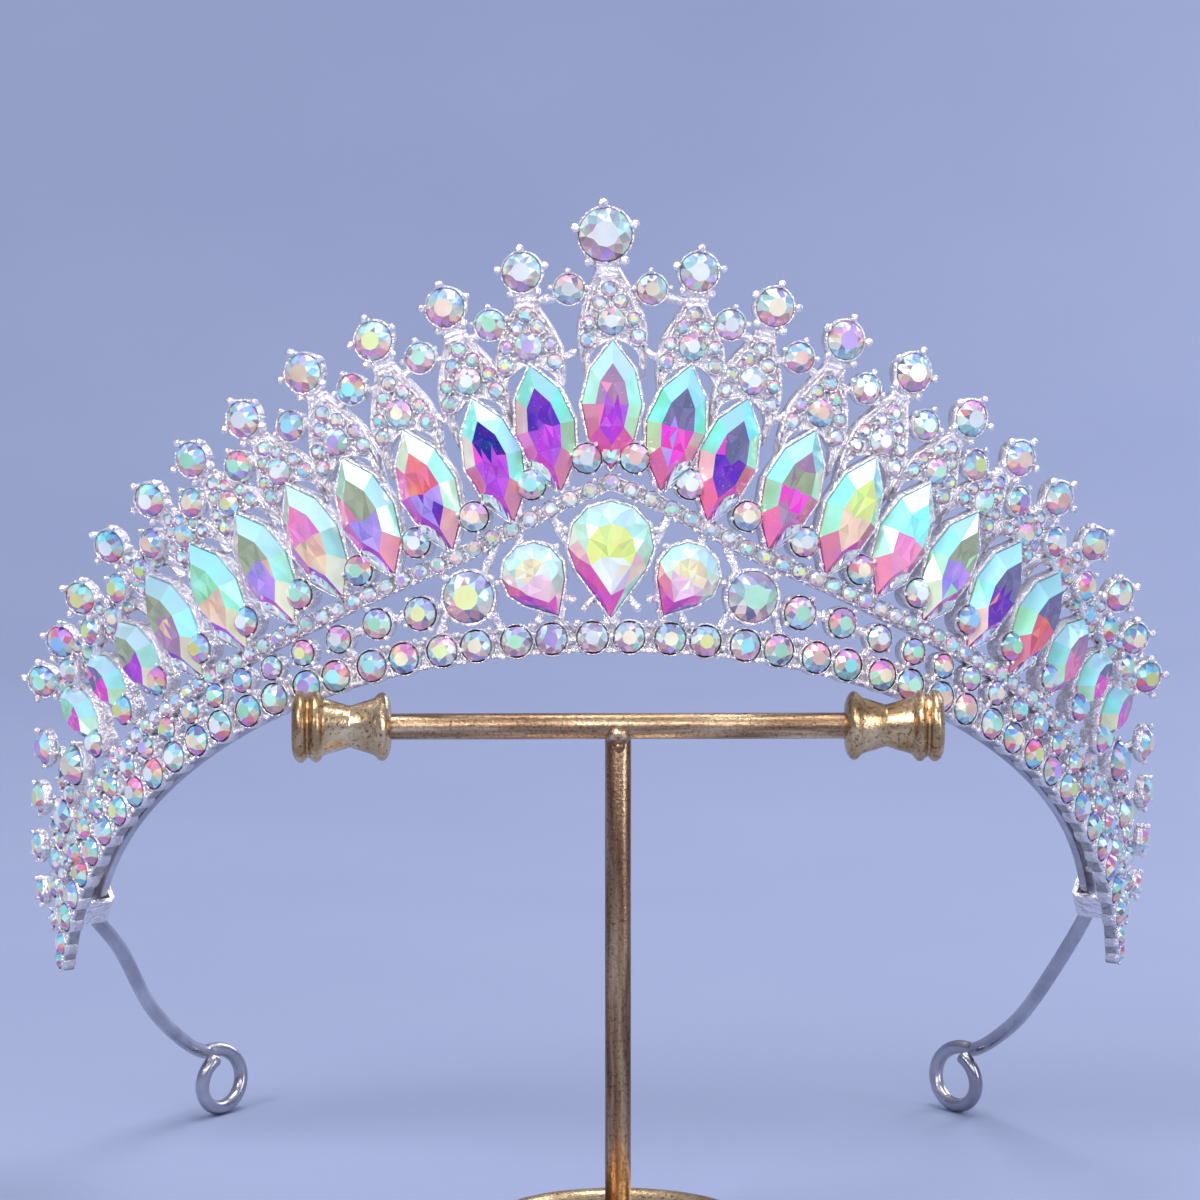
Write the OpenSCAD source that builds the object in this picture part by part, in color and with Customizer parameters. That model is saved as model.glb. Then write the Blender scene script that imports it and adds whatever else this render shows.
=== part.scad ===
// Bridal crown resting on a T-bar display stand. Lengths are in millimetres and angles in degrees.
// The table is the plane z = 0, the crown faces -Y, and the origin is under the middle of the
// stand's foot.
//
// The crown's front is one cast plate. Flat, it is a bow of spikes. It is bent round a cone that
// flares a little towards the top. A place on the flat plate is given by s, the length along its
// lower edge from the middle, positive to the right, and h, the height above that edge. The third
// length, out, is the distance in front of the plate's middle surface.

/* [Front plate] */
// Radius of the lower edge while the plate is flat
bow_r = 114.3; // [110:0.1:130]
// Bend radius of the right half, as it sits round the head
bend_right = 71; // [68:0.5:76]
// Bend radius of the left half, which springs open a little more
bend_left = 76.5; // [70:0.5:77]
// Angle by which the plate flares outwards
flare = 7.2; // [6:0.1:9]
// Length of the lower edge from its middle to each tip
half_length = 102; // [100:0.5:103]
// Thickness of the cast metal
plate_t = 1.8; // [1.6:0.1:2]
// Height of the rail that holds the lowest row of stones
base_rail_w = 4.3; // [4:0.1:4.6]
// Width of the rail that arches over the pear stones
arch_rail_w = 2.8; // [2.7:0.1:3]

/* [Settings and stones] */
// Width of a leaf-shaped spike under its top stone
leaf_w = 8.4; // [7:0.1:8.6]
// Diameter of the stone on the middle spike
top_stone_d = 6.2; // [5.8:0.1:6.4]
// Largest diameter of the stones on the other spikes
tip_stone_d = 4.5; // [4:0.1:4.8]
// Diameter of the seats between two spikes
between_seat_d = 3.8; // [3.4:0.1:4]
// Diameter of the seats beside the feet of the marquises
pip_seat_d = 3.6; // [3.2:0.1:4]
// Diameter of the large round stones beside the pears
round_stone_d = 6; // [5.6:0.1:6.2]
// Width and length of the middle pear
pear_w = 10; // [9.4:0.1:10.2]
pear_l = 13.5; // [13:0.1:14]
// Width and length of the two side pears
side_pear_w = 7.4; // [7:0.1:7.6]
side_pear_l = 9.3; // [9:0.1:9.6]
// Thickness of a bezel's wall
bezel_t = 0.45; // [0.4:0.05:0.5]
// Play between a stone and its bezel
stone_gap = 0.12; // [0.1:0.01:0.15]

/* [Headband] */
// Width of the strip behind the plate
band_w = 3; // [2.6:0.1:3.2]
// Thickness of the strip
band_t = 1.1; // [1:0.05:1.2]
// Diameter of the wire at the ends
wire_d = 1.9; // [1.8:0.1:2]
// Length of an end loop over its wire
loop_l = 10.6; // [10:0.1:11]
// Height of an end loop over its wire
loop_h = 9.6; // [9.2:0.1:10]

/* [Pose on the stand] */
// Height of the middle of the plate's lower edge above the table
front_z = 73.2; // [73:0.1:74]
// Place of that point along Y, from the middle of the stand's post
front_y = -2.9; // [-3:0.1:-2.9]
// Place of that point along X, from the middle of the stand's post
front_x = -0.9; // [-1.2:0.1:-0.6]
// Angle by which the crown leans back
lean_back = 12.8; // [12.5:0.1:13]

/* [Stand] */
// Height of the crossbar's middle
bar_z = 64.4; // [64:0.1:64.4]
// Diameter of the crossbar and of the post
bar_d = 3.1; // [2.8:0.1:3.4]
// Length of the crossbar over its knobs
bar_l = 77; // [76.6:0.1:77.4]
// Radius of the foot
foot_r = 15.5; // [14:0.5:18]
// Thickness of the foot
foot_h = 5; // [4:0.5:6]

/* [Hidden] */
slack = 0.01;

// One row for each spike from the middle outwards. A marquise stands on its foot at s and h and
// leans outwards. From its top a leaf reaches to the spike's round stone, with a lean of its own,
// and is bent forwards by out. The last column is the share of tip_stone_d that its stone has.
FOOT_S = 0;
FOOT_H = 1;
LEAN = 2;
LENGTH = 3;
WIDTH = 4;
REACH = 5;
LEAF_LEAN = 6;
LEAF_OUT = 7;
TIP_SHARE = 8;
motifs = [
    // foot_s foot_h lean length width reach leaf_lean leaf_out tip_share
    [0.0, 22.0, 1, 15, 7, 12.4, -4, 0, 1],
    [4.9, 19.6, 14, 15, 7, 11.0, 5, 0, 1],
    [9.8, 16.4, 19, 15, 7, 11.3, 17, 0, 1],
    [16.5, 13.9, 23, 15, 7, 11.4, 20, 0, 1],
    [23.2, 12.3, 26, 15, 7, 11.4, 27, 0, 1],
    [29.5, 11.2, 30, 15, 7, 9.8, 36, 0.6, 0.94],
    [36.0, 10.1, 33, 15, 7, 9.0, 42, 1.2, 0.9],
    [42.9, 9.2, 35, 15, 7, 7.8, 44, 1.8, 0.88],
    [50.0, 8.8, 38, 15, 7, 6.4, 52, 2.4, 0.87],
    [56.8, 9.2, 42, 12, 6, 6.4, 58, 3.0, 0.86],
    [63.1, 10.7, 47, 10, 5, 5.2, 68, 3.0, 0.84],
    [69.8, 11.0, 52, 10, 5, 4.2, 75, 3.0, 0.84]
];
last_motif = len(motifs) - 1;

// Round settings past the last marquise, then the small spikes above them
end_rounds = [
    // s h diameter
    [77.2, 12.6, 6.0],
    [84.0, 10.0, 5.0],
    [90.6, 8.6, 4.0]
];
end_tips = [
    // s h out diameter
    [78.4, 16.6, 2.6, 4.2],
    [84.6, 13.9, 2.2, 3.8],
    [90.8, 11.6, 1.8, 3.4],
    [96.4, 9.2, 1.2, 3.0]
];

// Height of the arch rail's middle line above the lower edge, at some lengths s
arch_line = [
    [0, 20.4], [3.6, 18.7], [7.5, 16.7], [11.4, 14.9], [15.2, 13.2], [19.5, 12.0], [25.5, 10.7],
    [32, 9.5], [38.7, 8.8], [45, 8.3], [60, 7.8], [80, 7.2], [90, 6.0], [97, 4.2]
];
arch_end = 97;

// Round seats that stand between the two rails beside the pears
gallery = [
    // s h diameter
    [21.3, 7.0, 4.4],
    [26.5, 6.9, 4.0],
    [31.5, 6.3, 3.6],
    [36.3, 6.1, 3.4],
    [40.8, 5.8, 3.2]
];
gallery_step = 4.4;
gallery_from = 45.2;
gallery_to = 86;
gallery_seat_d = 3.2;
gallery_drop = 0.4;

// Seats beside the feet of the marquises
pips = [
    // s h
    [2.3, 23.2],
    [7.8, 20.4],
    [13.8, 17.3],
    [20.2, 15.3],
    [27.0, 13.5],
    [34.4, 12.8],
    [41.8, 12.1],
    [48.9, 11.7],
    [56.5, 11.3],
    [63.4, 11.2],
    [70.5, 11.1]
];

// Thin arms, from one place to another
arms = [
    // s0 h0 s1 h1
    [12.6, 4.0, 13.6, 6.2],
    [18.6, 6.2, 19.8, 4.0],
    [12.2, 13.8, 13.9, 10.2],
    [17.6, 10.2, 19.2, 11.8],
    [23.4, 7.1, 24.8, 7.1],
    [28.2, 6.7, 30.0, 6.5],
    [30.6, 4.0, 31.2, 5.2],
    [17.2, 7.4, 20.0, 7.2],
    [6.0, 4.0, 5.5, 5.4],
    [9.6, 13.4, 9.8, 15.6],
    [4.6, 13.4, 6.2, 17.0],
    [56.6, 10.8, 56.6, 8.0],
    [63.2, 12.0, 62.8, 8.0],
    [69.9, 12.4, 69.6, 7.8],
    [77.0, 10.8, 76.8, 7.6]
];
arm_d = 0.9;
arm_t = 1;

base_row_h = base_rail_w / 2;
rail_step = 6.8;
seat_back = -0.9;
seat_front = 0.2;
bezel_front = 0.9;
bezel_taper = 1.5;
girdle_t = 0.35;
leaf_t = 1.2;
bar_t = 1.1;
collar_wall = 0.3;
pocket_h = 3;

// Turn, from straight up, of the line that crosses the flat plate's edge at s
function turn(s) = s / bow_r * 180 / PI;
// Place of s and h on the flat plate
function flat(s, h) = [(bow_r + h) * sin(turn(s)), (bow_r + h) * cos(turn(s)) - bow_r];
// Unit vector on the flat plate that leans to the right by an angle
function towards(angle) = [sin(angle), cos(angle)];
// Mirrored place on the flat plate, for the left half
function on_side(p, side) = [side * p.x, p.y];

// Axes and origin of the frame that touches the bent plate at a place p of the flat plate
function bent(p, out = 0) =
    let (
        r = p.x < 0 ? bend_left : bend_right,
        apex = r / sin(flare),
        fan = atan2(p.x, p.y + apex),
        round = fan / sin(flare),
        up = [sin(flare) * sin(round), -sin(flare) * cos(round), cos(flare)],
        along = [cos(round), sin(round), 0],
        front = [cos(flare) * sin(round), -cos(flare) * cos(round), -sin(flare)]
    )
    [
        sin(fan) * up + cos(fan) * along,
        cos(fan) * up - sin(fan) * along,
        front,
        [0, r, -apex * cos(flare)] + norm([p.x, p.y + apex]) * up + out * front
    ];

// Places along the plate for the two rails and the headband
function stations(end, step) = let (n = round(end / step)) [for (i = [-n : n]) i * end / n];
function arch_h(s) = lookup(abs(s), arch_line);

// Middle of a marquise, and its top, on the flat plate
function foot(m) = flat(m[FOOT_S], m[FOOT_H]);
function middle(m) = foot(m) + m[LENGTH] / 2 * towards(m[LEAN]);
function top(m) = foot(m) + m[LENGTH] * towards(m[LEAN]);
function tip(m) = top(m) + m[REACH] * towards(m[LEAF_LEAN]);
function tip_d(m) = tip_stone_d * m[TIP_SHARE];

// Outline of a marquise, two arcs between two points, with some steps on each arc
function marquise_outline(length, width, steps = 4) =
    let (
        r = (length * length + width * width) / (4 * width),
        half = asin(length / (2 * r))
    )
    concat(
        [for (i = [0 : steps - 1])
            let (a = -half + 2 * half * i / steps) [r * cos(a) - r + width / 2, r * sin(a)]],
        [for (i = [0 : steps - 1])
            let (a = half - 2 * half * i / steps) [r - width / 2 - r * cos(a), r * sin(a)]]
    );

// Outline of a pear whose round end lies at the origin and whose point looks down
function pear_outline(length, width, steps = 10) =
    let (
        r = width / 2,
        drop = length - r,
        touch = asin(r / drop)
    )
    concat(
        [[0, -drop]],
        [for (i = [0 : steps])
            let (a = -touch + (180 + 2 * touch) * i / steps) [r * cos(a), r * sin(a)]]
    );

module pose() {
    translate([front_x, front_y, front_z]) rotate([-lean_back, 0, 0]) children();
}

// Draws its children flat on the bent plate at p, turned clockwise by an angle
module on_plate(p, angle = 0, out = 0) {
    b = bent(p, out);
    multmatrix([
        [b[0].x, b[1].x, b[2].x, b[3].x],
        [b[0].y, b[1].y, b[2].y, b[3].y],
        [b[0].z, b[1].z, b[2].z, b[3].z],
        [0, 0, 0, 1]
    ])
    rotate([0, 0, -angle]) children();
}

// Draws its children in the frame of a leaf, whose Y axis runs from the marquise's top to the tip
module on_leaf(m, side) {
    on_plate(on_side(top(m), side), side * m[LEAF_LEAN])
        rotate([atan2(m[LEAF_OUT], m[REACH]), 0, 0]) children();
}

// Closed strip through rings of points. Each ring has the same number of corners, and they turn
// like a right-handed screw that moves along the strip.
module sweep(rings) {
    n = len(rings[0]);
    last = len(rings) - 1;
    points = [for (ring = rings) for (corner = ring) corner];
    sides = [for (i = [0 : last - 1]) for (j = [0 : n - 1])
        [i * n + j, (i + 1) * n + j, (i + 1) * n + (j + 1) % n, i * n + (j + 1) % n]];
    caps = [
        [for (j = [0 : n - 1]) j],
        [for (j = [n - 1 : -1 : 0]) last * n + j]
    ];
    polyhedron(points, concat(sides, caps), convexity = 10);
}

// Rail of rectangular section that follows the bent plate
module rail(path, front, back) {
    sweep([for (place = path)
        let (s = place[0], low = place[1] - place[2] / 2, high = place[1] + place[2] / 2)
        [
            bent(flat(s, low), back)[3],
            bent(flat(s, high), back)[3],
            bent(flat(s, high), front)[3],
            bent(flat(s, low), front)[3]
        ]]);
}

// Share of the base rail's height that is left near its two ends
taper_l = 8;
taper_share = 0.62;
function tip_taper(s) =
    let (left = min(1, (half_length - abs(s)) / taper_l)) taper_share + (1 - taper_share) * left;

module base_rail() {
    rail([for (s = stations(half_length, rail_step)) [s, base_row_h, base_rail_w * tip_taper(s)]],
        plate_t / 2, -plate_t / 2);
}

arch_set_back = 0.05;
module arch_rail() {
    rail([for (s = stations(arch_end, rail_step)) [s, arch_h(s), arch_rail_w]],
        plate_t / 2 - arch_set_back, -plate_t / 2 + arch_set_back);
}

// Round seat with its floor at the plate's back
module seat(d, sides = 8) {
    translate([0, 0, seat_back]) cylinder(h = seat_front - seat_back, d = d, $fn = sides);
}

// Bezel on an outline, solid until its pocket is cut
cup_back = -1;
module outline_seat(outline) {
    translate([0, 0, cup_back])
        linear_extrude(bezel_front - cup_back) scale_outline(outline, stone_gap + bezel_t);
}

// The outline grown by a wall all round, and by more at its points
module scale_outline(outline, wall) {
    xs = [for (p = outline) p.x];
    ys = [for (p = outline) p.y];
    w = max(xs) - min(xs);
    l = max(ys) - min(ys);
    mid_y = (max(ys) + min(ys)) / 2;
    translate([0, mid_y])
        scale([(w + 2 * wall) / w, (l + 2 * bezel_taper * wall) / l])
            translate([0, -mid_y]) polygon(outline);
}

module marquise_cup(m, side) {
    on_plate(on_side(middle(m), side), side * m[LEAN])
        outline_seat(marquise_outline(m[LENGTH], m[WIDTH]));
}

module marquise_pocket(m, side) {
    on_plate(on_side(middle(m), side), side * m[LEAN])
        translate([0, 0, seat_front])
            linear_extrude(pocket_h) scale_outline(marquise_outline(m[LENGTH], m[WIDTH]), stone_gap);
}

// Half widths of a leaf, as shares of its full half width, from its legs to its neck
leaf_profile = [[0, 0.76], [0.32, 1], [0.58, 0.84], [0.86, 0.38], [1, 0.26]];
leaf_legs = 4.6;
leaf_full_reach = 11;
leaf_least = 0.35;

module leaf(m, side, stone_d) {
    share = min(1, m[REACH] / leaf_full_reach);
    legs = -leaf_legs * (leaf_least + (1 - leaf_least) * share);
    neck = m[REACH] - stone_d / 2;
    half = leaf_w / 2 * (leaf_least + (1 - leaf_least) * share);
    outline = concat(
        [for (row = leaf_profile) [half * row[1], legs + (neck - legs) * row[0]]],
        [for (k = [len(leaf_profile) - 1 : -1 : 0])
            [-half * leaf_profile[k][1], legs + (neck - legs) * leaf_profile[k][0]]]
    );
    on_leaf(m, side) translate([0, 0, -leaf_t / 2]) linear_extrude(leaf_t) {
        polygon(outline);
        translate([0, m[REACH]]) circle(d = stone_d + 2 * collar_wall, $fn = 10);
    }
}

// Seat between two neighbouring spikes, with a bar to both
between_drop = 4.2;
between_bar = 6.4;
spike_step = 8.4;
module between_seat(i, side) {
    a = tip(motifs[i]);
    b = tip(motifs[i + 1]);
    lean = (motifs[i][LEAF_LEAN] + motifs[i + 1][LEAF_LEAN]) / 2;
    share = min(1, norm(b - a) / spike_step);
    out = (motifs[i][LEAF_OUT] + motifs[i + 1][LEAF_OUT]) / 4;
    p = (a + b) / 2 - between_drop * share * towards(lean);
    on_plate(on_side(p, side), side * lean, out - bar_t / 2) linear_extrude(bar_t) {
        circle(d = between_seat_d * (0.4 + 0.6 * share), $fn = 8);
        square([between_bar * share, bar_t], center = true);
    }
}

// Arm between two places of the plate
module arm(row, side) {
    hull() {
        on_plate(flat(side * row[0], row[1]), 0, -arm_t / 2) cylinder(h = arm_t, d = arm_d, $fn = 4);
        on_plate(flat(side * row[2], row[3]), 0, -arm_t / 2) cylinder(h = arm_t, d = arm_d, $fn = 4);
    }
}

// Round setting whose stone is a piece of its own
module round_cup(d) {
    translate([0, 0, seat_back])
        cylinder(h = bezel_front - seat_back, d = d + 2 * (bezel_t + stone_gap), $fn = 16);
}

module round_pocket(d) {
    translate([0, 0, seat_front]) cylinder(h = pocket_h, d = d + 2 * stone_gap, $fn = 16);
}

// Places of the stones under the arch
pear_h = 13.1;
side_pear_s = 8.3;
side_pear_h = 9.9;
side_pear_turn = 32;
round_s = 15.6;
round_h = 8.0;
module at_pear() {
    on_plate(flat(0, pear_h)) children();
}
module at_side_pear(side) {
    on_plate(flat(side * side_pear_s, side_pear_h), side * side_pear_turn) children();
}
module at_round(side) {
    on_plate(flat(side * round_s, round_h)) children();
}

// Place of the headband behind the plate, which drifts inwards and up a little at both ends
band_lift = 0.25;
band_h = 1.9;
drift_from = 66;
drift_out = 1.5;
drift_h = 1.1;
function drift(s) = let (x = max(0, (abs(s) - drift_from) / (band_end - drift_from))) x * x * (3 - 2 * x);
function band_place(s) =
    bent(flat(s, band_h + drift_h * drift(s)),
        -(plate_t / 2 + band_lift + band_t / 2 + drift_out * drift(s)));

// Tab that folds round the headband near each end
tab_s = 92;
tab_w = 4;
tab_t = 0.6;
module tab(side) {
    b_h = band_h + drift_h * drift(tab_s);
    low = b_h - band_w / 2 - band_lift;
    high = b_h + band_w / 2 + band_lift;
    reach = plate_t / 2 + 2 * band_lift + band_t + drift_out * drift(tab_s);
    on_plate(flat(side * tab_s, 0), side * turn(tab_s)) {
        translate([-tab_w / 2, low - tab_t, -reach - tab_t]) cube([tab_w, tab_t, reach + tab_t]);
        translate([-tab_w / 2, high, -reach - tab_t]) cube([tab_w, tab_t, reach + tab_t]);
        translate([-tab_w / 2, low - tab_t, -reach - tab_t]) cube([tab_w, high - low + 2 * tab_t, tab_t]);
    }
}

// Round settings and small spikes past the last marquise
end_round_wall = 0.2;
end_stem_d = 1.8;
end_root_d = 2.4;
module end_settings(side) {
    for (row = end_rounds) {
        on_plate(flat(side * row[0], row[1]), side * turn(row[0])) seat(row[2] + 2 * end_round_wall, 10);
    }
    for (k = [0 : len(end_tips) - 1]) {
        row = end_tips[k];
        root = end_rounds[min(k, len(end_rounds) - 1)];
        on_plate(flat(side * row[0], row[1]), side * turn(row[0]), row[2]) seat(row[3] + 2 * collar_wall);
        hull() {
            on_plate(flat(side * row[0], row[1]), 0, row[2] + seat_back + 0.1)
                cylinder(h = arm_t, d = end_stem_d, $fn = 4);
            on_plate(flat(side * root[0], root[1]), 0, seat_back + 0.1)
                cylinder(h = arm_t, d = end_root_d, $fn = 4);
        }
    }
}

module front_casting() {
    color("silver") pose() difference() {
        union() {
            base_rail();
            arch_rail();
            marquise_cup(motifs[0], 1);
            leaf(motifs[0], 1, top_stone_d);
            at_pear() outline_seat(pear_outline(pear_l, pear_w));
            for (side = [-1, 1]) {
                for (i = [1 : last_motif]) {
                    marquise_cup(motifs[i], side);
                    leaf(motifs[i], side, tip_d(motifs[i]));
                }
                for (i = [0 : last_motif - 1]) {
                    between_seat(i, side);
                }
                for (row = pips) {
                    on_plate(flat(side * row[0], row[1]), side * turn(row[0])) seat(pip_seat_d, 6);
                }
                at_side_pear(side) outline_seat(pear_outline(side_pear_l, side_pear_w));
                at_round(side) round_cup(round_stone_d);
                for (row = gallery) {
                    on_plate(flat(side * row[0], row[1])) seat(row[2]);
                }
                for (s = [gallery_from : gallery_step : gallery_to]) {
                    on_plate(flat(side * s, (base_rail_w + arch_h(s)) / 2 - gallery_drop))
                        seat(gallery_seat_d, 6);
                }
                for (row = arms) {
                    arm(row, side);
                }
                end_settings(side);
                tab(side);
            }
        }
        marquise_pocket(motifs[0], 1);
        at_pear() translate([0, 0, seat_front])
            linear_extrude(pocket_h) scale_outline(pear_outline(pear_l, pear_w), stone_gap);
        for (side = [-1, 1]) {
            for (i = [1 : last_motif]) {
                marquise_pocket(motifs[i], side);
            }
            at_side_pear(side) translate([0, 0, seat_front])
                linear_extrude(pocket_h)
                    scale_outline(pear_outline(side_pear_l, side_pear_w), stone_gap);
            at_round(side) round_pocket(round_stone_d);
        }
    }
}

// Cut stone on an outline: a girdle, a crown that closes in to a flat table
crown_h = 1.7;
table_w_share = 0.52;
table_l_share = 0.57;
foil = 0.02;
module cut_stone(outline) {
    ys = [for (p = outline) p.y];
    mid_y = (max(ys) + min(ys)) / 2;
    girdle_top = bezel_front - seat_front + girdle_t;
    translate([0, 0, seat_front + foil]) hull() {
        linear_extrude(girdle_top) polygon(outline);
        translate([0, mid_y, girdle_top + crown_h - slack])
            linear_extrude(slack)
                scale([table_w_share, table_l_share]) translate([0, -mid_y]) polygon(outline);
    }
}

// Round cut stone that stands on its seat
round_girdle_share = 0.14;
round_crown_share = 0.3;
round_table_share = 0.56;
module round_stone(d, floor_z = seat_front) {
    r = d / 2;
    girdle = d * round_girdle_share;
    top = girdle + d * round_crown_share;
    translate([0, 0, floor_z + foil]) rotate_extrude($fn = 24)
        polygon([[0, 0], [r, 0], [r, girdle], [r * round_table_share, top], [0, top]]);
}

module marquise(i, side) {
    m = motifs[i];
    color("plum") pose() on_plate(on_side(middle(m), side), side * m[LEAN])
        cut_stone(marquise_outline(m[LENGTH], m[WIDTH]));
}

module pear_middle() {
    color("khaki") pose() at_pear() cut_stone(pear_outline(pear_l, pear_w));
}

module side_pear(side) {
    color("pink") pose() at_side_pear(side) cut_stone(pear_outline(side_pear_l, side_pear_w));
}

module round_gem(side) {
    color("lightcyan") pose() at_round(side) round_stone(round_stone_d);
}

module top_stone() {
    color("thistle") pose() on_leaf(motifs[0], 1) translate([0, motifs[0][REACH], 0])
        round_stone(top_stone_d, leaf_t / 2);
}

module spike_stones(side) {
    color("lightblue") pose() {
        for (i = [1 : last_motif]) {
            on_leaf(motifs[i], side) translate([0, motifs[i][REACH], 0])
                round_stone(tip_d(motifs[i]), leaf_t / 2);
        }
        for (row = end_tips) {
            on_plate(flat(side * row[0], row[1]), side * turn(row[0]), row[2]) round_stone(row[3]);
        }
    }
}

// The headband is a strip behind the plate's lower edge. Past each tab it turns to round wire and
// runs back to a loop that stands on the table.
band_end = 95;
wire_right = [
    // x y z on the table's frame
    [57.6, 50, 25.8],
    [54.4, 61.5, 17.0],
    [51.5, 71.2, 11.5]
];
wire_left = [
    [-63.0, 49, 28.2],
    [-60.2, 61, 18.4],
    [-56.8, 71.2, 11.8]
];
loop_heading = 42;
loop_start = 108;
loop_turn = 344;
loop_step = 2.8;
loop_y = 79.7;
loop_right_x = 48.3;
loop_left_x = -53.2;
wire_steps = 4;
loop_steps = 18;
wire_sides = 8;

// Place in the crown's own frame, carried to the table's frame
function posed(p) = [
    front_x + p.x,
    front_y + p.y * cos(lean_back) + p.z * sin(lean_back),
    front_z - p.y * sin(lean_back) + p.z * cos(lean_back)
];
function posed_direction(v) = posed(v) - posed([0, 0, 0]);

// Ring of corners round a centre, with half sizes along two directions
function ring(centre, a, b, half_a, half_b) =
    [for (k = [0 : wire_sides - 1])
        let (angle = 360 / wire_sides * (k + 0.5), c = cos(angle), s = sin(angle), q = max(abs(c), abs(s)),
            square_a = half_a * c / q, square_b = half_b * s / q)
        centre + square_a * a + square_b * b];
function round_ring(centre, a, b, r) =
    [for (k = [0 : wire_sides - 1])
        let (angle = 360 / wire_sides * (k + 0.5))
        centre + r * cos(angle) * a + r * sin(angle) * b];

function unit(v) = v / norm(v);

// Smooth curve through a list of places, without its first and last ones
function through(p, steps) =
    [for (i = [1 : len(p) - 3]) for (k = [0 : steps - 1])
        let (t = k / steps)
        (2 * p[i] + (p[i + 1] - p[i - 1]) * t
            + (2 * p[i - 1] - 5 * p[i] + 4 * p[i + 1] - p[i + 2]) * t * t
            + (3 * p[i] - p[i - 1] - 3 * p[i + 1] + p[i + 2]) * t * t * t) / 2];

// Loop at the end of a wire. It stands upright along its heading, and steps sideways to the front
// on its way round, so that its free end passes in front of the wire.
function loop_centre(side) = [side > 0 ? loop_right_x : loop_left_x, loop_y, loop_h / 2];
function loop_along(side) = [-side * sin(loop_heading), cos(loop_heading), 0];
function loop_forwards(side) = [-side * cos(loop_heading), -sin(loop_heading), 0];
function loop_point(side, angle) =
    loop_centre(side)
    + (loop_l - wire_d) / 2 * cos(angle) * loop_along(side)
    + (loop_h - wire_d) / 2 * sin(angle) * [0, 0, 1]
    + loop_step * (loop_start - angle) / loop_turn * loop_forwards(side);

// Middle line of one wire, from the strip's end to the free end of its loop
function wire_path(side) =
    let (
        strip = [for (s = [band_end - 6, band_end]) posed(band_place(side * s)[3])],
        entry = [loop_point(side, loop_start), loop_point(side, loop_start - 40)],
        run = through(concat(strip, side > 0 ? wire_right : wire_left, entry), wire_steps)
    )
    concat(
        [for (i = [1 : len(run) - 1]) run[i]],
        [for (i = [0 : loop_steps]) loop_point(side, loop_start - loop_turn * i / loop_steps)]
    );

function strip_rings() =
    [for (s = stations(band_end, rail_step))
        let (b = band_place(s), t = turn(s),
            up = posed_direction(sin(t) * b[0] + cos(t) * b[1]), front = posed_direction(b[2]))
        ring(posed(b[3]), up, front, band_w / 2, band_t / 2)];

// Rings round the wire, in the sense of the strip from its left end to its right end
function wire_rings(side) =
    let (path = wire_path(side), n = len(path))
    [for (i = [0 : n - 1])
        let (
            ahead = side * unit(path[min(i + 1, n - 1)] - path[max(i - 1, 0)]),
            level = i < n - loop_steps - 1 ? ahead : side * loop_along(side),
            front = unit(cross(level, [0, 0, 1]))
        )
        round_ring(path[i], cross(front, ahead), front, wire_d / 2)];
function backwards(list) = [for (i = [len(list) - 1 : -1 : 0]) list[i]];

module headband() {
    color("gainsboro") sweep(concat(backwards(wire_rings(-1)), strip_rings(), wire_rings(1)));
}

// Profile of a knob along the bar, from its inner face to its outer end
knob_l = 11.7;
knob_bore = 8;
bar_play = 0.1;
knob_profile = [
    // distance from the inner face, radius
    [0.0, 1.8], [0.2, 3.2], [0.6, 3.9], [1.1, 4.1], [1.7, 3.8], [2.0, 3.4],
    [4.9, 2.5], [8.0, 3.4], [8.2, 3.9], [8.7, 4.3], [9.4, 4.1], [9.6, 3.7],
    [10.0, 3.7], [10.2, 4.1], [10.7, 4.3], [11.3, 4.1], [11.6, 3.6], [11.7, 3.0]
];
module knob(side) {
    color("goldenrod") translate([0, 0, bar_z]) rotate([0, side * 90, 0])
        translate([0, 0, bar_l / 2 - knob_l]) difference() {
            rotate_extrude($fn = 48)
                polygon(concat([[0, 0]], [for (row = knob_profile) [row[1], row[0]]], [[0, knob_l]]));
            translate([0, 0, -1]) cylinder(h = knob_bore + 1, d = bar_d + bar_play, $fn = 32);
        }
}

// Post and crossbar, with the bead of solder in front of and under their joint
post_depth = 2.5;
solder_d = 3;
solder_front = 0.75;
solder_drop = 0.9;
bar_in_knob = knob_bore - 0.3;
module stand_tbar() {
    length = bar_l - 2 * (knob_l - bar_in_knob);
    color("darkgoldenrod") {
        translate([-length / 2, 0, bar_z]) rotate([0, 90, 0]) cylinder(h = length, d = bar_d, $fn = 32);
        translate([0, 0, foot_h - post_depth]) cylinder(h = bar_z - foot_h + post_depth, d = bar_d, $fn = 32);
        translate([0, -solder_front, bar_z - solder_drop]) sphere(d = solder_d, $fn = 32);
    }
}

// Foot with a raised rim round a shallow dish, and a boss that holds the post
foot_rim = 1.6;
foot_dish = 0.7;
foot_edge = 0.8;
boss_r = 3.4;
boss_h = 0.4;
module stand_foot() {
    dish_h = foot_h - foot_dish;
    color("goldenrod") difference() {
        rotate_extrude($fn = 64)
            polygon([
                [0, 0], [foot_r - foot_edge, 0], [foot_r, foot_edge],
                [foot_r, foot_h - foot_edge], [foot_r - foot_edge, foot_h],
                [foot_r - foot_rim, foot_h], [foot_r - foot_rim - foot_edge, dish_h],
                [boss_r, dish_h], [boss_r - foot_edge, foot_h + boss_h], [0, foot_h + boss_h]
            ]);
        translate([0, 0, foot_h - post_depth])
            cylinder(h = post_depth + boss_h + 1, d = bar_d + bar_play, $fn = 32);
    }
}

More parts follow.
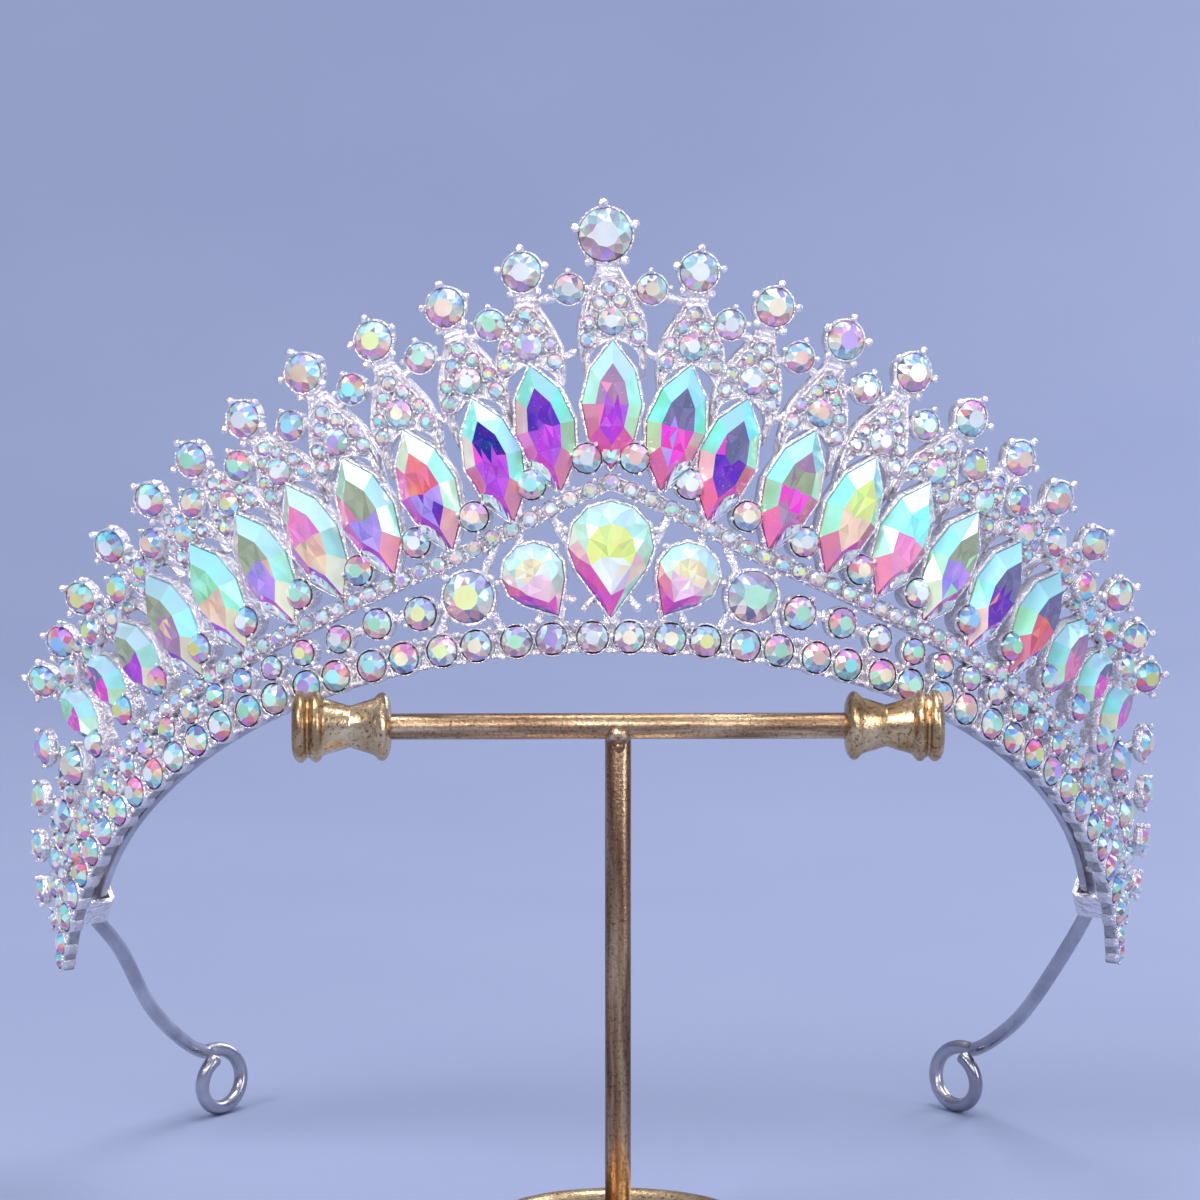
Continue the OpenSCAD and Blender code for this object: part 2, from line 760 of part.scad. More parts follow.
front_casting();
headband();
top_stone();
spike_stones(-1);  // spike_stones_left
spike_stones(1);  // spike_stones_right
pear_middle();
side_pear(-1);  // pear_left
side_pear(1);  // pear_right
round_gem(-1);  // round_left
round_gem(1);  // round_right
marquise(0, 1);  // marquise_0
for (i = [1 : last_motif]) {
    marquise(i, -1);
    marquise(i, 1);
}
stand_foot();
stand_tbar();
knob(-1);  // stand_knob_left
knob(1);  // stand_knob_right
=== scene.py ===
import colorsys
import random
from math import asin, atan, atan2, cos, degrees, hypot, pi, radians, sin, sqrt

import bmesh
import bpy
import numpy as np
from mathutils import Matrix, Vector


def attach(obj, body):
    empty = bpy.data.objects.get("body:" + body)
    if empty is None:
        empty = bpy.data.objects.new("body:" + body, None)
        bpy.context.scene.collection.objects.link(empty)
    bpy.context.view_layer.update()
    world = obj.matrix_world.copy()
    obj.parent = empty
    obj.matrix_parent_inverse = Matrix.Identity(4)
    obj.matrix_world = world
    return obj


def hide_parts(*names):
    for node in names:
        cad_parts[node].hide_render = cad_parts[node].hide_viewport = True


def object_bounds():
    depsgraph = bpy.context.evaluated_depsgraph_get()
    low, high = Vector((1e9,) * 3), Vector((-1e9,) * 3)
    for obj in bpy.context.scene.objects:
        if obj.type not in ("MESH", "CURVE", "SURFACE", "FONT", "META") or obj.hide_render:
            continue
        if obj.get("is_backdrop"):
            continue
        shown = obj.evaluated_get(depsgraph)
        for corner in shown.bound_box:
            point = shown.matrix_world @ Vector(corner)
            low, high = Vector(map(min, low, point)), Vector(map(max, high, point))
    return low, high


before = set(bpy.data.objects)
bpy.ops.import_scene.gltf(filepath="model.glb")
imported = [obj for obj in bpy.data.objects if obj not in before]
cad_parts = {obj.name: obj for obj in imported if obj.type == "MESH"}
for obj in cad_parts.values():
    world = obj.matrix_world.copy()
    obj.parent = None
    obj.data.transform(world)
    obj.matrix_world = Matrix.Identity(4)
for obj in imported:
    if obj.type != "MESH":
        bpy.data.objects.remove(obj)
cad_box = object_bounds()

# Lengths in this script are millimetres and angles degrees, until make_piece turns them to metres.
MM = 0.001

# Driving sizes, as in the part's source
BOW_R = 114.3
BEND_RIGHT = 71
BEND_LEFT = 76.5
FLARE = 7.2
HALF_LENGTH = 102
FRONT = (-0.9, -2.9, 73.2)
LEAN_BACK = 12.8
BASE_RAIL_W = 4.3
PLATE_T = 1.8
LEAF_T = 1.2
LEAF_W = 8.4
TOP_STONE_D = 6.2
TIP_STONE_D = 4.5
BETWEEN_STONE_D = 3.5
PIP_STONE_D = 3.4
ROUND_STONE_D = 6.0
SEAT_FRONT = 0.2
BEZEL_FRONT = 0.9
GIRDLE_T = 0.35
CROWN_H = 1.7
BAR_Z = 64.4
BAR_D = 3.1

# One row for each spike from the middle outwards, as in the part's source
FOOT_S, FOOT_H, LEAN, LENGTH, WIDTH, REACH, LEAF_LEAN, LEAF_OUT, TIP_SHARE = range(9)
MOTIFS = [
    (0.0, 22.0, 1, 15, 7, 12.4, -4, 0, 1),
    (4.9, 19.6, 14, 15, 7, 11.0, 5, 0, 1),
    (9.8, 16.4, 19, 15, 7, 11.3, 17, 0, 1),
    (16.5, 13.9, 23, 15, 7, 11.4, 20, 0, 1),
    (23.2, 12.3, 26, 15, 7, 11.4, 27, 0, 1),
    (29.5, 11.2, 30, 15, 7, 9.8, 36, 0.6, 0.94),
    (36.0, 10.1, 33, 15, 7, 9.0, 42, 1.2, 0.9),
    (42.9, 9.2, 35, 15, 7, 7.8, 44, 1.8, 0.88),
    (50.0, 8.8, 38, 15, 7, 6.4, 52, 2.4, 0.87),
    (56.8, 9.2, 42, 12, 6, 6.4, 58, 3.0, 0.86),
    (63.1, 10.7, 47, 10, 5, 5.2, 68, 3.0, 0.84),
    (69.8, 11.0, 52, 10, 5, 4.2, 75, 3.0, 0.84),
]
LAST = len(MOTIFS) - 1

# Tones under the tables of the long stones: upper part, lower part and single flashes. Those of
# a side's marquises run outwards from the middle.
TABLES = {
    "marquise_0": "mauve purple pink",
    "pear_middle": "lime white cream",
    "pear_left": "cream blush white",
    "pear_right": "cream blush white",
}
SIDE_TABLES = {
    "marquise_left": (
        "violet purple magenta", "indigo purple magenta", "coral lavender violet",
        "olive lavender pink", "pink peach olive", "olive lavender peach", "mint peach lavender",
        "olive mauve peach", "olive purple slate", "slate magenta pink", "mint magenta olive",
    ),
    "marquise_right": (
        "slate magenta lavender", "slate violet magenta", "olive magenta mauve",
        "lime peach cream", "aqua pink coral", "olive lavender mint", "slate violet coral",
        "slate coral mint", "mauve pink magenta", "slate magenta pink", "mauve magenta purple",
    ),
}
for side_name, tone_rows in SIDE_TABLES.items():
    TABLES.update({f"{side_name}_{i}": row for i, row in enumerate(tone_rows, 1)})

ARCH_LINE = [
    (0, 20.4), (3.6, 18.7), (7.5, 16.7), (11.4, 14.9), (15.2, 13.2), (19.5, 12.0), (25.5, 10.7),
    (32, 9.5), (38.7, 8.8), (45, 8.3), (60, 7.8), (80, 7.2), (90, 6.0), (97, 4.2),
]
ARCH_END = 97

GALLERY = [
    # s h diameter
    (21.3, 7.0, 4.4), (26.5, 6.9, 4.0), (31.5, 6.3, 3.6), (36.3, 6.1, 3.4), (40.8, 5.8, 3.2),
]
PIPS = [
    # s h
    (2.3, 23.2), (7.8, 20.4), (13.8, 17.3), (20.2, 15.3), (27.0, 13.5), (34.4, 12.8),
    (41.8, 12.1), (48.9, 11.7), (56.5, 11.3), (63.4, 11.2), (70.5, 11.1),
]
ARMS = [
    # s0 h0 s1 h1
    (12.6, 4.0, 13.6, 6.2), (18.6, 6.2, 19.8, 4.0), (12.2, 13.8, 13.9, 10.2),
    (17.6, 10.2, 19.2, 11.8), (23.4, 7.1, 24.8, 7.1), (28.2, 6.7, 30.0, 6.5),
    (30.6, 4.0, 31.2, 5.2), (17.2, 7.4, 20.0, 7.2), (6.0, 4.0, 5.5, 5.4), (0.4, 4.0, 0.3, 5.0),
    (9.6, 13.4, 9.8, 15.6), (4.6, 13.4, 6.2, 17.0), (56.6, 10.8, 56.6, 8.0),
    (63.2, 12.0, 62.8, 8.0), (69.9, 12.4, 69.6, 7.8), (77.0, 10.8, 76.8, 7.6),
]
END_ROUNDS = [
    # s h diameter
    (77.2, 12.6, 5.6), (84.0, 10.0, 4.6), (90.6, 8.6, 3.6),
]
END_FILL = [
    # s h diameter
    (80.8, 11.0, 2.6), (87.4, 9.2, 2.4), (94.4, 7.6, 2.8), (98.4, 5.9, 2.2), (81.4, 13.6, 2.2),
    (88.0, 11.6, 2.0),
]
END_TIPS = [
    # s h out diameter
    (78.4, 16.6, 2.6, 4.2), (84.6, 13.9, 2.2, 3.8), (90.8, 11.6, 1.8, 3.4), (96.4, 9.2, 1.2, 3.0),
]

SIDES = ((-1, "left"), (1, "right"))
UP = np.array([0.0, 0.0, 1.0])


def rotation(axis, angle):
    return np.array(Matrix.Rotation(radians(angle), 4, axis))


def shift(x, y, z):
    return np.array(Matrix.Translation((x, y, z)))


POSE = shift(*FRONT) @ rotation("X", -LEAN_BACK)


def turn(s):
    """Turn, from straight up, of the line that crosses the flat plate's edge at s."""
    return degrees(s / BOW_R)


def flat(s, h):
    """Place of s and h on the flat plate."""
    a = s / BOW_R
    return np.array([(BOW_R + h) * sin(a), (BOW_R + h) * cos(a) - BOW_R])


def towards(angle):
    a = radians(angle)
    return np.array([sin(a), cos(a)])


def on_side(p, side):
    return np.array([side * p[0], p[1]])


def bent(p, out=0.0):
    """Frame that touches the bent plate at a place of the flat plate: along, up, front, origin."""
    r = BEND_LEFT if p[0] < 0 else BEND_RIGHT
    flare = radians(FLARE)
    apex = r / sin(flare)
    fan = atan2(p[0], p[1] + apex)
    round_ = fan / sin(flare)
    c, s = cos(round_), sin(round_)
    up = np.array([sin(flare) * s, -sin(flare) * c, cos(flare)])
    along = np.array([c, s, 0.0])
    front = np.array([cos(flare) * s, -cos(flare) * c, -sin(flare)])
    reach = hypot(p[0], p[1] + apex)
    made = np.eye(4)
    made[:3, 0] = sin(fan) * up + cos(fan) * along
    made[:3, 1] = cos(fan) * up - sin(fan) * along
    made[:3, 2] = front
    made[:3, 3] = np.array([0, r, -apex * cos(flare)]) + reach * up + out * front
    return POSE @ made


def on_plate(p, angle=0.0, out=0.0):
    return bent(p, out) @ rotation("Z", -angle)


def at(s, h, out=0.0):
    """Frame at s and h whose Y axis runs straight away from the plate's lower edge."""
    return on_plate(flat(s, h), turn(s), out)


def foot(m):
    return flat(m[FOOT_S], m[FOOT_H])


def middle(m):
    return foot(m) + m[LENGTH] / 2 * towards(m[LEAN])


def top(m):
    return foot(m) + m[LENGTH] * towards(m[LEAN])


def tip(m):
    return top(m) + m[REACH] * towards(m[LEAF_LEAN])


def tip_d(m):
    return TIP_STONE_D * m[TIP_SHARE]


def on_leaf(m, side):
    """Frame of a leaf, whose Y axis runs from the marquise's top to the tip."""
    tilt = degrees(atan2(m[LEAF_OUT], m[REACH]))
    return on_plate(on_side(top(m), side), side * m[LEAF_LEAN]) @ rotation("X", tilt)


def on_marquise(m, side):
    return on_plate(on_side(middle(m), side), side * m[LEAN])


def on_tip(m, side):
    return on_leaf(m, side) @ shift(0, m[REACH], 0)


def arch_h(s):
    return float(np.interp(abs(s), *zip(*ARCH_LINE)))


def place(frame_, x, y, z=0.0):
    """A point of a frame, in the table's frame."""
    return (frame_ @ np.array([x, y, z, 1.0]))[:3]


def motif_sides():
    """(index, side, row) of each spike: the middle one, then the left ones, then the right ones."""
    yield 0, 1, MOTIFS[0]
    for side in (-1, 1):
        for i in range(1, LAST + 1):
            yield i, side, MOTIFS[i]


# Shells, each as points and faces


def grey(v):
    return (v, v, v)


def bands(values, ends, corners):
    """Painted shade of a loft's faces: a grey for each band between two rings, and for its two
    ends.
    """
    return [grey(v) for v in values for _ in range(corners)] + [grey(v) for v in ends]


class Shells:
    """Closed shells that become one mesh, with a colour for each face, white if none is given:
    painted shade on the metal, facet colours on the stones.
    """

    def __init__(self):
        self.points, self.faces, self.tints, self.count = [], [], [], 0

    def add(self, shell, frame_=None, tints=None):
        points, faces = np.asarray(shell[0], float), shell[1]
        if frame_ is not None:
            points = points @ frame_[:3, :3].T + frame_[:3, 3]
        self.points.append(points)
        self.faces += [[i + self.count for i in face] for face in faces]
        self.tints += tints or [grey(1)] * len(shell[1])
        self.count += len(points)


def loft(rings, closed=True):
    """Shell through rings with the same number of corners."""
    n, last = len(rings[0]), len(rings) - 1
    points = np.concatenate([np.asarray(r, float) for r in rings])
    faces = []
    for a in range(0, last * n, n):
        faces += [[a + j, a + n + j, a + n + (j + 1) % n, a + (j + 1) % n] for j in range(n)]
    if closed:
        faces += [list(range(n)), [last * n + j for j in reversed(range(n))]]
    return points, faces


def circle(r, z, sides, phase=0.0):
    a = np.arange(sides) * 2 * np.pi / sides + phase
    return np.stack([r * np.cos(a), r * np.sin(a), np.full(sides, z)], 1)


def lathe(profile, sides):
    """Shell turned about Z from rows of radius and height, and closed at its two ends."""
    return loft([circle(r, z, sides) for r, z in profile])


def ball(centre, r, sides=8, stacks=4):
    x, y, z = centre
    turns = [pi * k / stacks for k in range(1, stacks)]
    rings = [circle(r * sin(a), -r * cos(a), sides) + (x, y, z) for a in turns]
    points, faces = loft(rings, closed=False)
    n = len(points)
    points = np.concatenate([points, [[x, y, z - r], [x, y, z + r]]])
    faces += [[n, (j + 1) % sides, j] for j in range(sides)]
    faces += [[n + 1, n - sides + j, n - sides + (j + 1) % sides] for j in range(sides)]
    return points, faces


def stick(a, b, r_a, r_b, sides=7, swell=0.0):
    """Rod with round ends. It swells in its middle by a share."""
    a, b = np.asarray(a, float), np.asarray(b, float)
    way = (b - a) / max(np.linalg.norm(b - a), 1e-6)
    side = np.cross(way, UP)
    if np.linalg.norm(side) < 1e-3:
        side = np.cross(way, [1.0, 0.0, 0.0])
    side /= np.linalg.norm(side)
    over = np.cross(side, way)
    rows = [(a - 0.75 * r_a * way, 0.45 * r_a), (a - 0.4 * r_a * way, 0.85 * r_a)]
    for t in (0.0, 0.5, 1.0):
        r = (r_a + (r_b - r_a) * t) * (1 + swell * sin(pi * t))
        rows.append((a + t * (b - a), r))
    rows += [(b + 0.4 * r_b * way, 0.85 * r_b), (b + 0.75 * r_b * way, 0.45 * r_b)]
    turns = np.arange(sides) * 2 * np.pi / sides
    c, s = np.cos(turns)[:, None], np.sin(turns)[:, None]
    return loft([p + r * (c * side + s * over) for p, r in rows])


def smooth_path(points, steps):
    """Catmull-Rom curve through all places."""
    p = np.asarray(points, float)
    p = np.concatenate([[2 * p[0] - p[1]], p, [2 * p[-1] - p[-2]]])
    made = []
    for i in range(1, len(p) - 2):
        for k in range(steps):
            t = k / steps
            made.append((
                2 * p[i] + (p[i + 1] - p[i - 1]) * t
                + (2 * p[i - 1] - 5 * p[i] + 4 * p[i + 1] - p[i + 2]) * t * t
                + (3 * p[i] - p[i - 1] - 3 * p[i + 1] + p[i + 2]) * t ** 3
            ) / 2)
    made.append(p[-2])
    return np.array(made)


# Outlines, as corners of the flat, anticlockwise


def marquise_outline(length, width, steps=4):
    """Two arcs between two points."""
    r = (length * length + width * width) / (4 * width)
    half = asin(length / (2 * r))
    right = [
        (r * cos(a) - r + width / 2, r * sin(a))
        for a in (-half + 2 * half * i / steps for i in range(steps))
    ]
    return np.array(right + [(-x, -y) for x, y in right])


def pear_outline(length, width, steps=8, sharp=1):
    """Round end at the origin, point down."""
    r = width / 2
    drop = length - r
    touch = asin(r / drop)
    arc = [
        (r * cos(a), r * sin(a))
        for a in (-touch + (pi + 2 * touch) * i / steps for i in range(steps + 1))
    ]
    side = [(arc[0][0] * k / sharp, -drop + (arc[0][1] + drop) * k / sharp) for k in range(sharp)]
    back = [(-x, y) for x, y in side[:0:-1]]
    return np.array(side + arc + back)


def grown(outline, wall, longest=2.2):
    """The outline with its edges moved outwards by a wall, its points by longest walls at most."""
    before, after = np.roll(outline, 1, 0) - outline, np.roll(outline, -1, 0) - outline
    a = before / np.linalg.norm(before, axis=1)[:, None]
    b = after / np.linalg.norm(after, axis=1)[:, None]
    n_a, n_b = np.stack([-a[:, 1], a[:, 0]], 1), np.stack([b[:, 1], -b[:, 0]], 1)
    mid = n_a + n_b
    mid /= np.linalg.norm(mid, axis=1)[:, None]
    slant = np.maximum((mid * n_a).sum(1), 1 / longest)
    return outline + mid * (wall / slant)[:, None]


def add_bezel(shells, frame_, outline, rows, ends=(0.30, 0.35)):
    """Setting round an outline, from rows of wall, height and painted shade (grey) of the band to
    the next row; ends are the painted shade of its two ends.
    """
    rings = [np.c_[grown(outline, wall), np.full(len(outline), z)] for wall, z, _ in rows]
    shells.add(loft(rings), frame_, bands([row[2] for row in rows[:-1]], ends, len(outline)))


# Colours painted on the coating by how each facet faces the light, from facets that lean down to
# facets that face the light: a painted reflection, darker violet on the first, pale aqua on the
# last

COATING = [
    # place on the run, hue, saturation, value
    (0.00, 0.700, 0.74, 0.70), (0.12, 0.790, 0.70, 0.84), (0.24, 0.865, 0.74, 0.96),
    (0.36, 0.905, 0.62, 1.00), (0.46, 0.940, 0.54, 1.00), (0.55, 0.965, 0.40, 1.00),
    (0.59, 1.060, 0.16, 1.00), (0.67, 1.340, 0.26, 0.97), (0.75, 1.390, 0.32, 0.98),
    (0.85, 1.460, 0.42, 0.99), (0.93, 1.500, 0.48, 1.00), (1.00, 1.530, 0.34, 1.00),
]
TONES = {
    # hue, saturation, value
    "indigo": (0.690, 0.78, 0.62),
    "violet": (0.745, 0.72, 0.74),
    "purple": (0.800, 0.66, 0.86),
    "magenta": (0.870, 0.66, 0.98),
    "pink": (0.920, 0.42, 1.00),
    "blush": (0.930, 0.16, 1.00),
    "coral": (0.985, 0.52, 0.98),
    "peach": (1.070, 0.28, 1.00),
    "cream": (1.130, 0.24, 1.00),
    "lime": (1.190, 0.42, 0.98),
    "olive": (1.220, 0.20, 0.70),
    "mint": (1.400, 0.32, 0.97),
    "aqua": (1.495, 0.42, 1.00),
    "sky": (1.560, 0.40, 1.00),
    "slate": (1.680, 0.24, 0.62),
    "lavender": (0.730, 0.34, 0.94),
    "mauve": (0.860, 0.22, 0.72),
    "white": (1.500, 0.04, 1.00),
}


def to_linear(c):
    return c / 12.92 if c <= 0.04045 else ((c + 0.055) / 1.055) ** 2.4


def linear(hue, saturation, value):
    rgb = colorsys.hsv_to_rgb(hue % 1.0, min(max(saturation, 0), 1), min(max(value, 0), 1))
    return [to_linear(c) for c in rgb]


def coating(where, dim, pale, run=COATING):
    """Linear colour at a place on a run of the coating, with its value and saturation scaled."""
    x = min(max(where, 0.0), 1.0)
    rows = list(zip(*run))
    hue, saturation, value = (float(np.interp(x, rows[0], rows[k])) for k in (1, 2, 3))
    return linear(hue, saturation * pale, value * dim)


def tone(name, dice, spread, pale=1.0):
    """Linear colour of a named tone, a little off its middle."""
    hue, saturation, value = TONES[name]
    return linear(
        hue + dice.uniform(-0.015, 0.015),
        saturation * pale * (1 + dice.uniform(-2, 2) * spread),
        value * (1 + dice.uniform(-1.6, 0.6) * spread),
    )


# Way to the light for the painted coating colours: facets that face it take the coating's pale end
LIGHT_WAY = np.array([0.18, -0.25, 0.95])


def lean_of(points, face):
    """How far a face of placed points leans towards the painted light's way, to the coating's pale
    end, from -1 to 1.
    """
    p = points[face]
    n = np.cross(p, np.roll(p, -1, 0)).sum(0)
    return float((n / max(np.linalg.norm(n), 1e-9)) @ LIGHT_WAY)


# Cut stones, which stand with their girdle's foot at z = 0

# A round stone's girdle and crown height and table radius, as shares of its size
GIRDLE, CROWN, TABLE = 0.10, 0.24, 0.50
# Share of a crown's height where its two rows of facets meet
MID_TIER = 0.62


def ring_faces(a, b, n):
    """Faces between two rings of n corners that start at a and b."""
    return [[a + j, a + (j + 1) % n, b + (j + 1) % n, b + j] for j in range(n)]


def round_stone(d, mains):
    """Brilliant crown: table, stars, mains and upper halves, over a girdle."""
    r = d / 2
    low = circle(r, 0, 2 * mains)
    high = circle(r, GIRDLE * d, 2 * mains)
    mid_z = (GIRDLE + CROWN * MID_TIER) * d
    mid = circle(r * (0.45 + TABLE * 0.6), mid_z, mains, pi / mains)
    flat_top = circle(r * TABLE, (GIRDLE + CROWN) * d, mains)
    points = np.concatenate([low, high, mid, flat_top])
    g, m, t, n = 2 * mains, 4 * mains, 5 * mains, 2 * mains
    faces = [list(reversed(range(n)))] + ring_faces(0, g, n)
    for k in range(mains):
        a, b, c = g + 2 * k, g + 2 * k + 1, g + (2 * k + 2) % n
        before = m + (k - 1) % mains
        faces += [[a, b, m + k], [b, c, m + k]]
        faces += [[a, m + k, t + k, before], [m + k, t + (k + 1) % mains, t + k]]
    faces.append([t + k for k in range(mains)])
    return points, faces


def long_stone(outline, table_w, table_l, girdle, crown, dice, tiers):
    """Stone on an outline: girdle, crown facets in one or two tiers and a table that shows the
    facets under it. Returns the shell and the kind of each face."""
    n = len(outline)
    mid_y = (outline[:, 1].max() + outline[:, 1].min()) / 2

    def drawn_in(ring, across, along):
        return np.stack([ring[:, 0] * across, (ring[:, 1] - mid_y) * along + mid_y], 1)

    inner = drawn_in(outline, table_w, table_l)
    z_top = girdle + crown
    points = [
        np.c_[outline, np.zeros(n)], np.c_[outline, np.full(n, girdle)],
        np.c_[inner, np.full(n, z_top)],
    ]
    faces = [list(reversed(range(n)))] + ring_faces(0, n, n)
    if tiers == 1:
        faces += ring_faces(n, 2 * n, n)
    else:
        half = (outline + np.roll(outline, -1, 0)) / 2
        half = drawn_in(half, (1 + table_w) / 2 + 0.03, (1 + table_l) / 2 + 0.03)
        points.append(np.c_[half, np.full(n, girdle + crown * MID_TIER)])
        b = 3 * n
        for j in range(n):
            k = (j + 1) % n
            faces += [[n + j, n + k, b + j], [n + k, b + k, 2 * n + k, b + j]]
            faces.append([b + j, 2 * n + k, 2 * n + j])
    kinds = ["side"] * len(faces)
    core = drawn_in(inner, 0.45, 0.52)
    core += [dice.uniform(-0.15, 0.15), dice.uniform(-0.3, 0.3)]
    heart = np.array([[dice.uniform(-0.3, 0.3), mid_y + dice.uniform(-0.7, 0.7)]])
    c = sum(len(p) for p in points)
    points += [np.c_[core, np.full(n, z_top)], np.c_[heart, [[z_top]]]]
    for j in range(n):
        k = (j + 1) % n
        if j % 2:
            faces += [[2 * n + j, 2 * n + k, c + k], [2 * n + j, c + k, c + j]]
        else:
            faces += [[2 * n + j, 2 * n + k, c + j], [2 * n + k, c + k, c + j]]
        faces.append([c + j, c + k, c + n])
        kinds += ["table"] * 3
    return (np.concatenate(points), faces), kinds


# Metal settings

# Painted shade (greys) of a cup's bands: inside one that fits its stone, inside one that leaves a
# gap painted dark as its shadow, and from the lip outwards and round the back
FITTED_INSIDE, OPEN_INSIDE = (0.30, 0.30, 0.55), (0.05, 0.05, 0.25)
CUP_PAINTED_SHADE = (1.0, 1.0, 0.95, 0.78, 0.80, 0.85, 0.85, 0.45)
# Width from which a gap's inside gets the dark painted shadow
SHADOWED_GAP = 0.05


def add_cup(shells, frame_, d, wall, back=-0.9, lip=0.95, sides=20, gap=0.02):
    """Cup round a stone of a diameter, with a rolled lip, a gap inside and a rim round its back.
    Its bands carry painted shade, darkest inside a wide gap.
    """
    r = d / 2
    out = r + wall
    profile = [
        (r * 0.9, lip - 0.8), (r + gap, lip - 0.75), (r + gap, lip - 0.1), (r + gap + 0.06, lip),
        (r + wall * 0.7, lip + 0.03), (out, lip - 0.12), (out, lip - 0.6),
        (out - 0.04, back + 0.25), (out - 0.1, back + 0.08), (out - 0.25, back),
        (out - 0.45, back + 0.02), (out - 0.6, back + 0.35),
    ]
    # Painted shade: dark inside the cup, darkest in a wide gap, lighter on the lip
    inside = FITTED_INSIDE if gap < SHADOWED_GAP else OPEN_INSIDE
    shades = bands(inside + CUP_PAINTED_SHADE, (inside[0], 0.35), sides)
    shells.add(lathe(profile, sides), frame_, shades)


# Angles of prongs, clockwise from up
FIVE_PRONGS = (0, -78, 78, -146, 146)
FOUR_PRONGS = (-45, 45, 135, 225)


def prongs(shells, frame_, angles, reach, heights, ball_r, off=0, dice=None):
    """Rods up the side of a stone with a ball on each end. reach and heights go from a rod's foot
    to its ball, and it is turned by up to off degrees."""
    for angle in angles:
        x, y = towards(angle + dice.uniform(-off, off) if dice else angle)
        low, high = (place(frame_, r * x, r * y, z) for r, z in zip(reach, heights))
        shells.add(stick(low, high, ball_r * 0.72, ball_r * 0.6, 6))
        shells.add(ball(high, ball_r))


def bead(shells, frame_, x, y, z, r):
    shells.add(ball(place(frame_, x, y, z), r, 7, 4))


# Pieces


def make_piece(name, shells, finish, replaces=(), smooth=None):
    """Blender mesh of some shells. smooth is the angle above which an edge stays sharp."""
    points = np.concatenate(shells.points) * MM
    mesh = bpy.data.meshes.new(name)
    mesh.from_pydata(points.tolist(), [], shells.faces)
    # Per-face colour: painted shade on the metal, facet colours on the stones
    layer = mesh.attributes.new("tint", "FLOAT_COLOR", "FACE")
    values = np.ones((len(shells.faces), 4), np.float32)
    values[:, :3] = shells.tints
    layer.data.foreach_set("color", values.ravel())
    body = bmesh.new()
    body.from_mesh(mesh)
    bmesh.ops.remove_doubles(body, verts=body.verts, dist=1e-7)
    bmesh.ops.dissolve_degenerate(body, edges=body.edges, dist=1e-8)
    bmesh.ops.recalc_face_normals(body, faces=body.faces)
    body.to_mesh(mesh)
    body.free()
    if smooth is not None:
        mesh.shade_smooth()
        mesh.set_sharp_from_angle(angle=radians(smooth))
    mesh.materials.append(finish)
    made = add_object(name, mesh)
    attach(made, "root")
    if replaces:
        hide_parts(*replaces)


# Materials


class Nodes:
    """Short way to write the nodes of a material or a world."""

    def __init__(self, owner, shader="Principled BSDF"):
        self.owner = owner
        owner.use_nodes = True
        self.tree = owner.node_tree
        self.shader = self.tree.nodes[shader]

    def add(self, kind, inputs=(), **settings):
        node = self.tree.nodes.new(kind)
        for key, value in settings.items():
            setattr(node, key, value)
        for key, value in dict(inputs).items():
            self.give(node, key, value)
        return node

    def give(self, node, key, value):
        if isinstance(value, bpy.types.NodeSocket):
            self.tree.links.new(value, node.inputs[key])
        else:
            node.inputs[key].default_value = value

    def finish(self, **values):
        """Set the shader's inputs and return the material or world."""
        for key, value in values.items():
            self.give(self.shader, key.replace("_", " "), value)
        return self.owner

    def noise(self, scale, detail=3.0, rough=0.55, stretch=(1, 1, 1)):
        where = self.add("ShaderNodeTexCoord").outputs["Object"]
        if tuple(stretch) != (1, 1, 1):
            where = self.add("ShaderNodeMapping", {"Vector": where, "Scale": stretch}).outputs[0]
        inputs = {"Scale": scale, "Detail": detail, "Roughness": rough, "Vector": where}
        node = self.add("ShaderNodeTexNoise", inputs)
        return node.outputs["Fac"]

    def ramp(self, value, *stops):
        node = self.add("ShaderNodeValToRGB", {"Fac": value})
        ramp = node.color_ramp
        while len(ramp.elements) < len(stops):
            ramp.elements.new(0.5)
        for element, (where, colour) in zip(ramp.elements, stops):
            element.position = where
            element.color = (*colour, 1)
        return node.outputs["Color"]

    def blend(self, share, a, b, kind="MIX"):
        node = self.add("ShaderNodeMix", data_type="RGBA", blend_type=kind)
        for key, value in ((0, share), (6, a), (7, b)):
            self.give(node, key, value)
        return node.outputs[2]

    def maths(self, kind, a, b):
        return self.add("ShaderNodeMath", {0: a, 1: b}, operation=kind).outputs[0]

    def map(self, value, low, high, to_low, to_high):
        names = "Value", "From Min", "From Max", "To Min", "To Max"
        values = value, low, high, to_low, to_high
        node = self.add("ShaderNodeMapRange", dict(zip(names, values)))
        return node.outputs["Result"]

    def bump(self, height, distance, strength, under=None):
        inputs = {"Height": height, "Distance": distance, "Strength": strength}
        node = self.add("ShaderNodeBump", inputs)
        if under is not None:
            self.give(node, "Normal", under)
        return node.outputs["Normal"]

    def tint(self):
        """Colour that the mesh gives to each face: painted shade on the metal, and on the stones
        facet colours partly painted by how each facet faces the light.
        """
        return self.add("ShaderNodeAttribute", attribute_name="tint").outputs["Color"]


def material(name):
    return Nodes(bpy.data.materials.new(name))


def cast_silver():
    """Bright plate over cast metal: fine grains and small pits, times the mesh's greys, which are
    painted shade in recesses, gaps and undersides.
    """
    n = material("cast_silver")
    grains = n.noise(2600, 2.0, 0.6)
    lumps = n.noise(1150, 3.0, 0.6)
    worn = n.noise(160, 2.0, 0.5)
    dull, bright, glint = (0.72, 0.65, 0.68), (1.0, 0.94, 0.96), (1.0, 0.97, 0.98)
    plate = n.ramp(lumps, (0.28, dull), (0.42, bright), (0.66, glint))
    return n.finish(
        # The mesh's per-face greys multiply the plate: painted shade
        Base_Color=n.blend(1.0, plate, n.tint(), "MULTIPLY"),
        Metallic=0.8,
        Roughness=n.map(worn, 0.3, 0.7, 0.16, 0.32),
        Normal=n.bump(grains, 0.0002, 0.8, n.bump(lumps, 0.0008, 0.8)),
    )


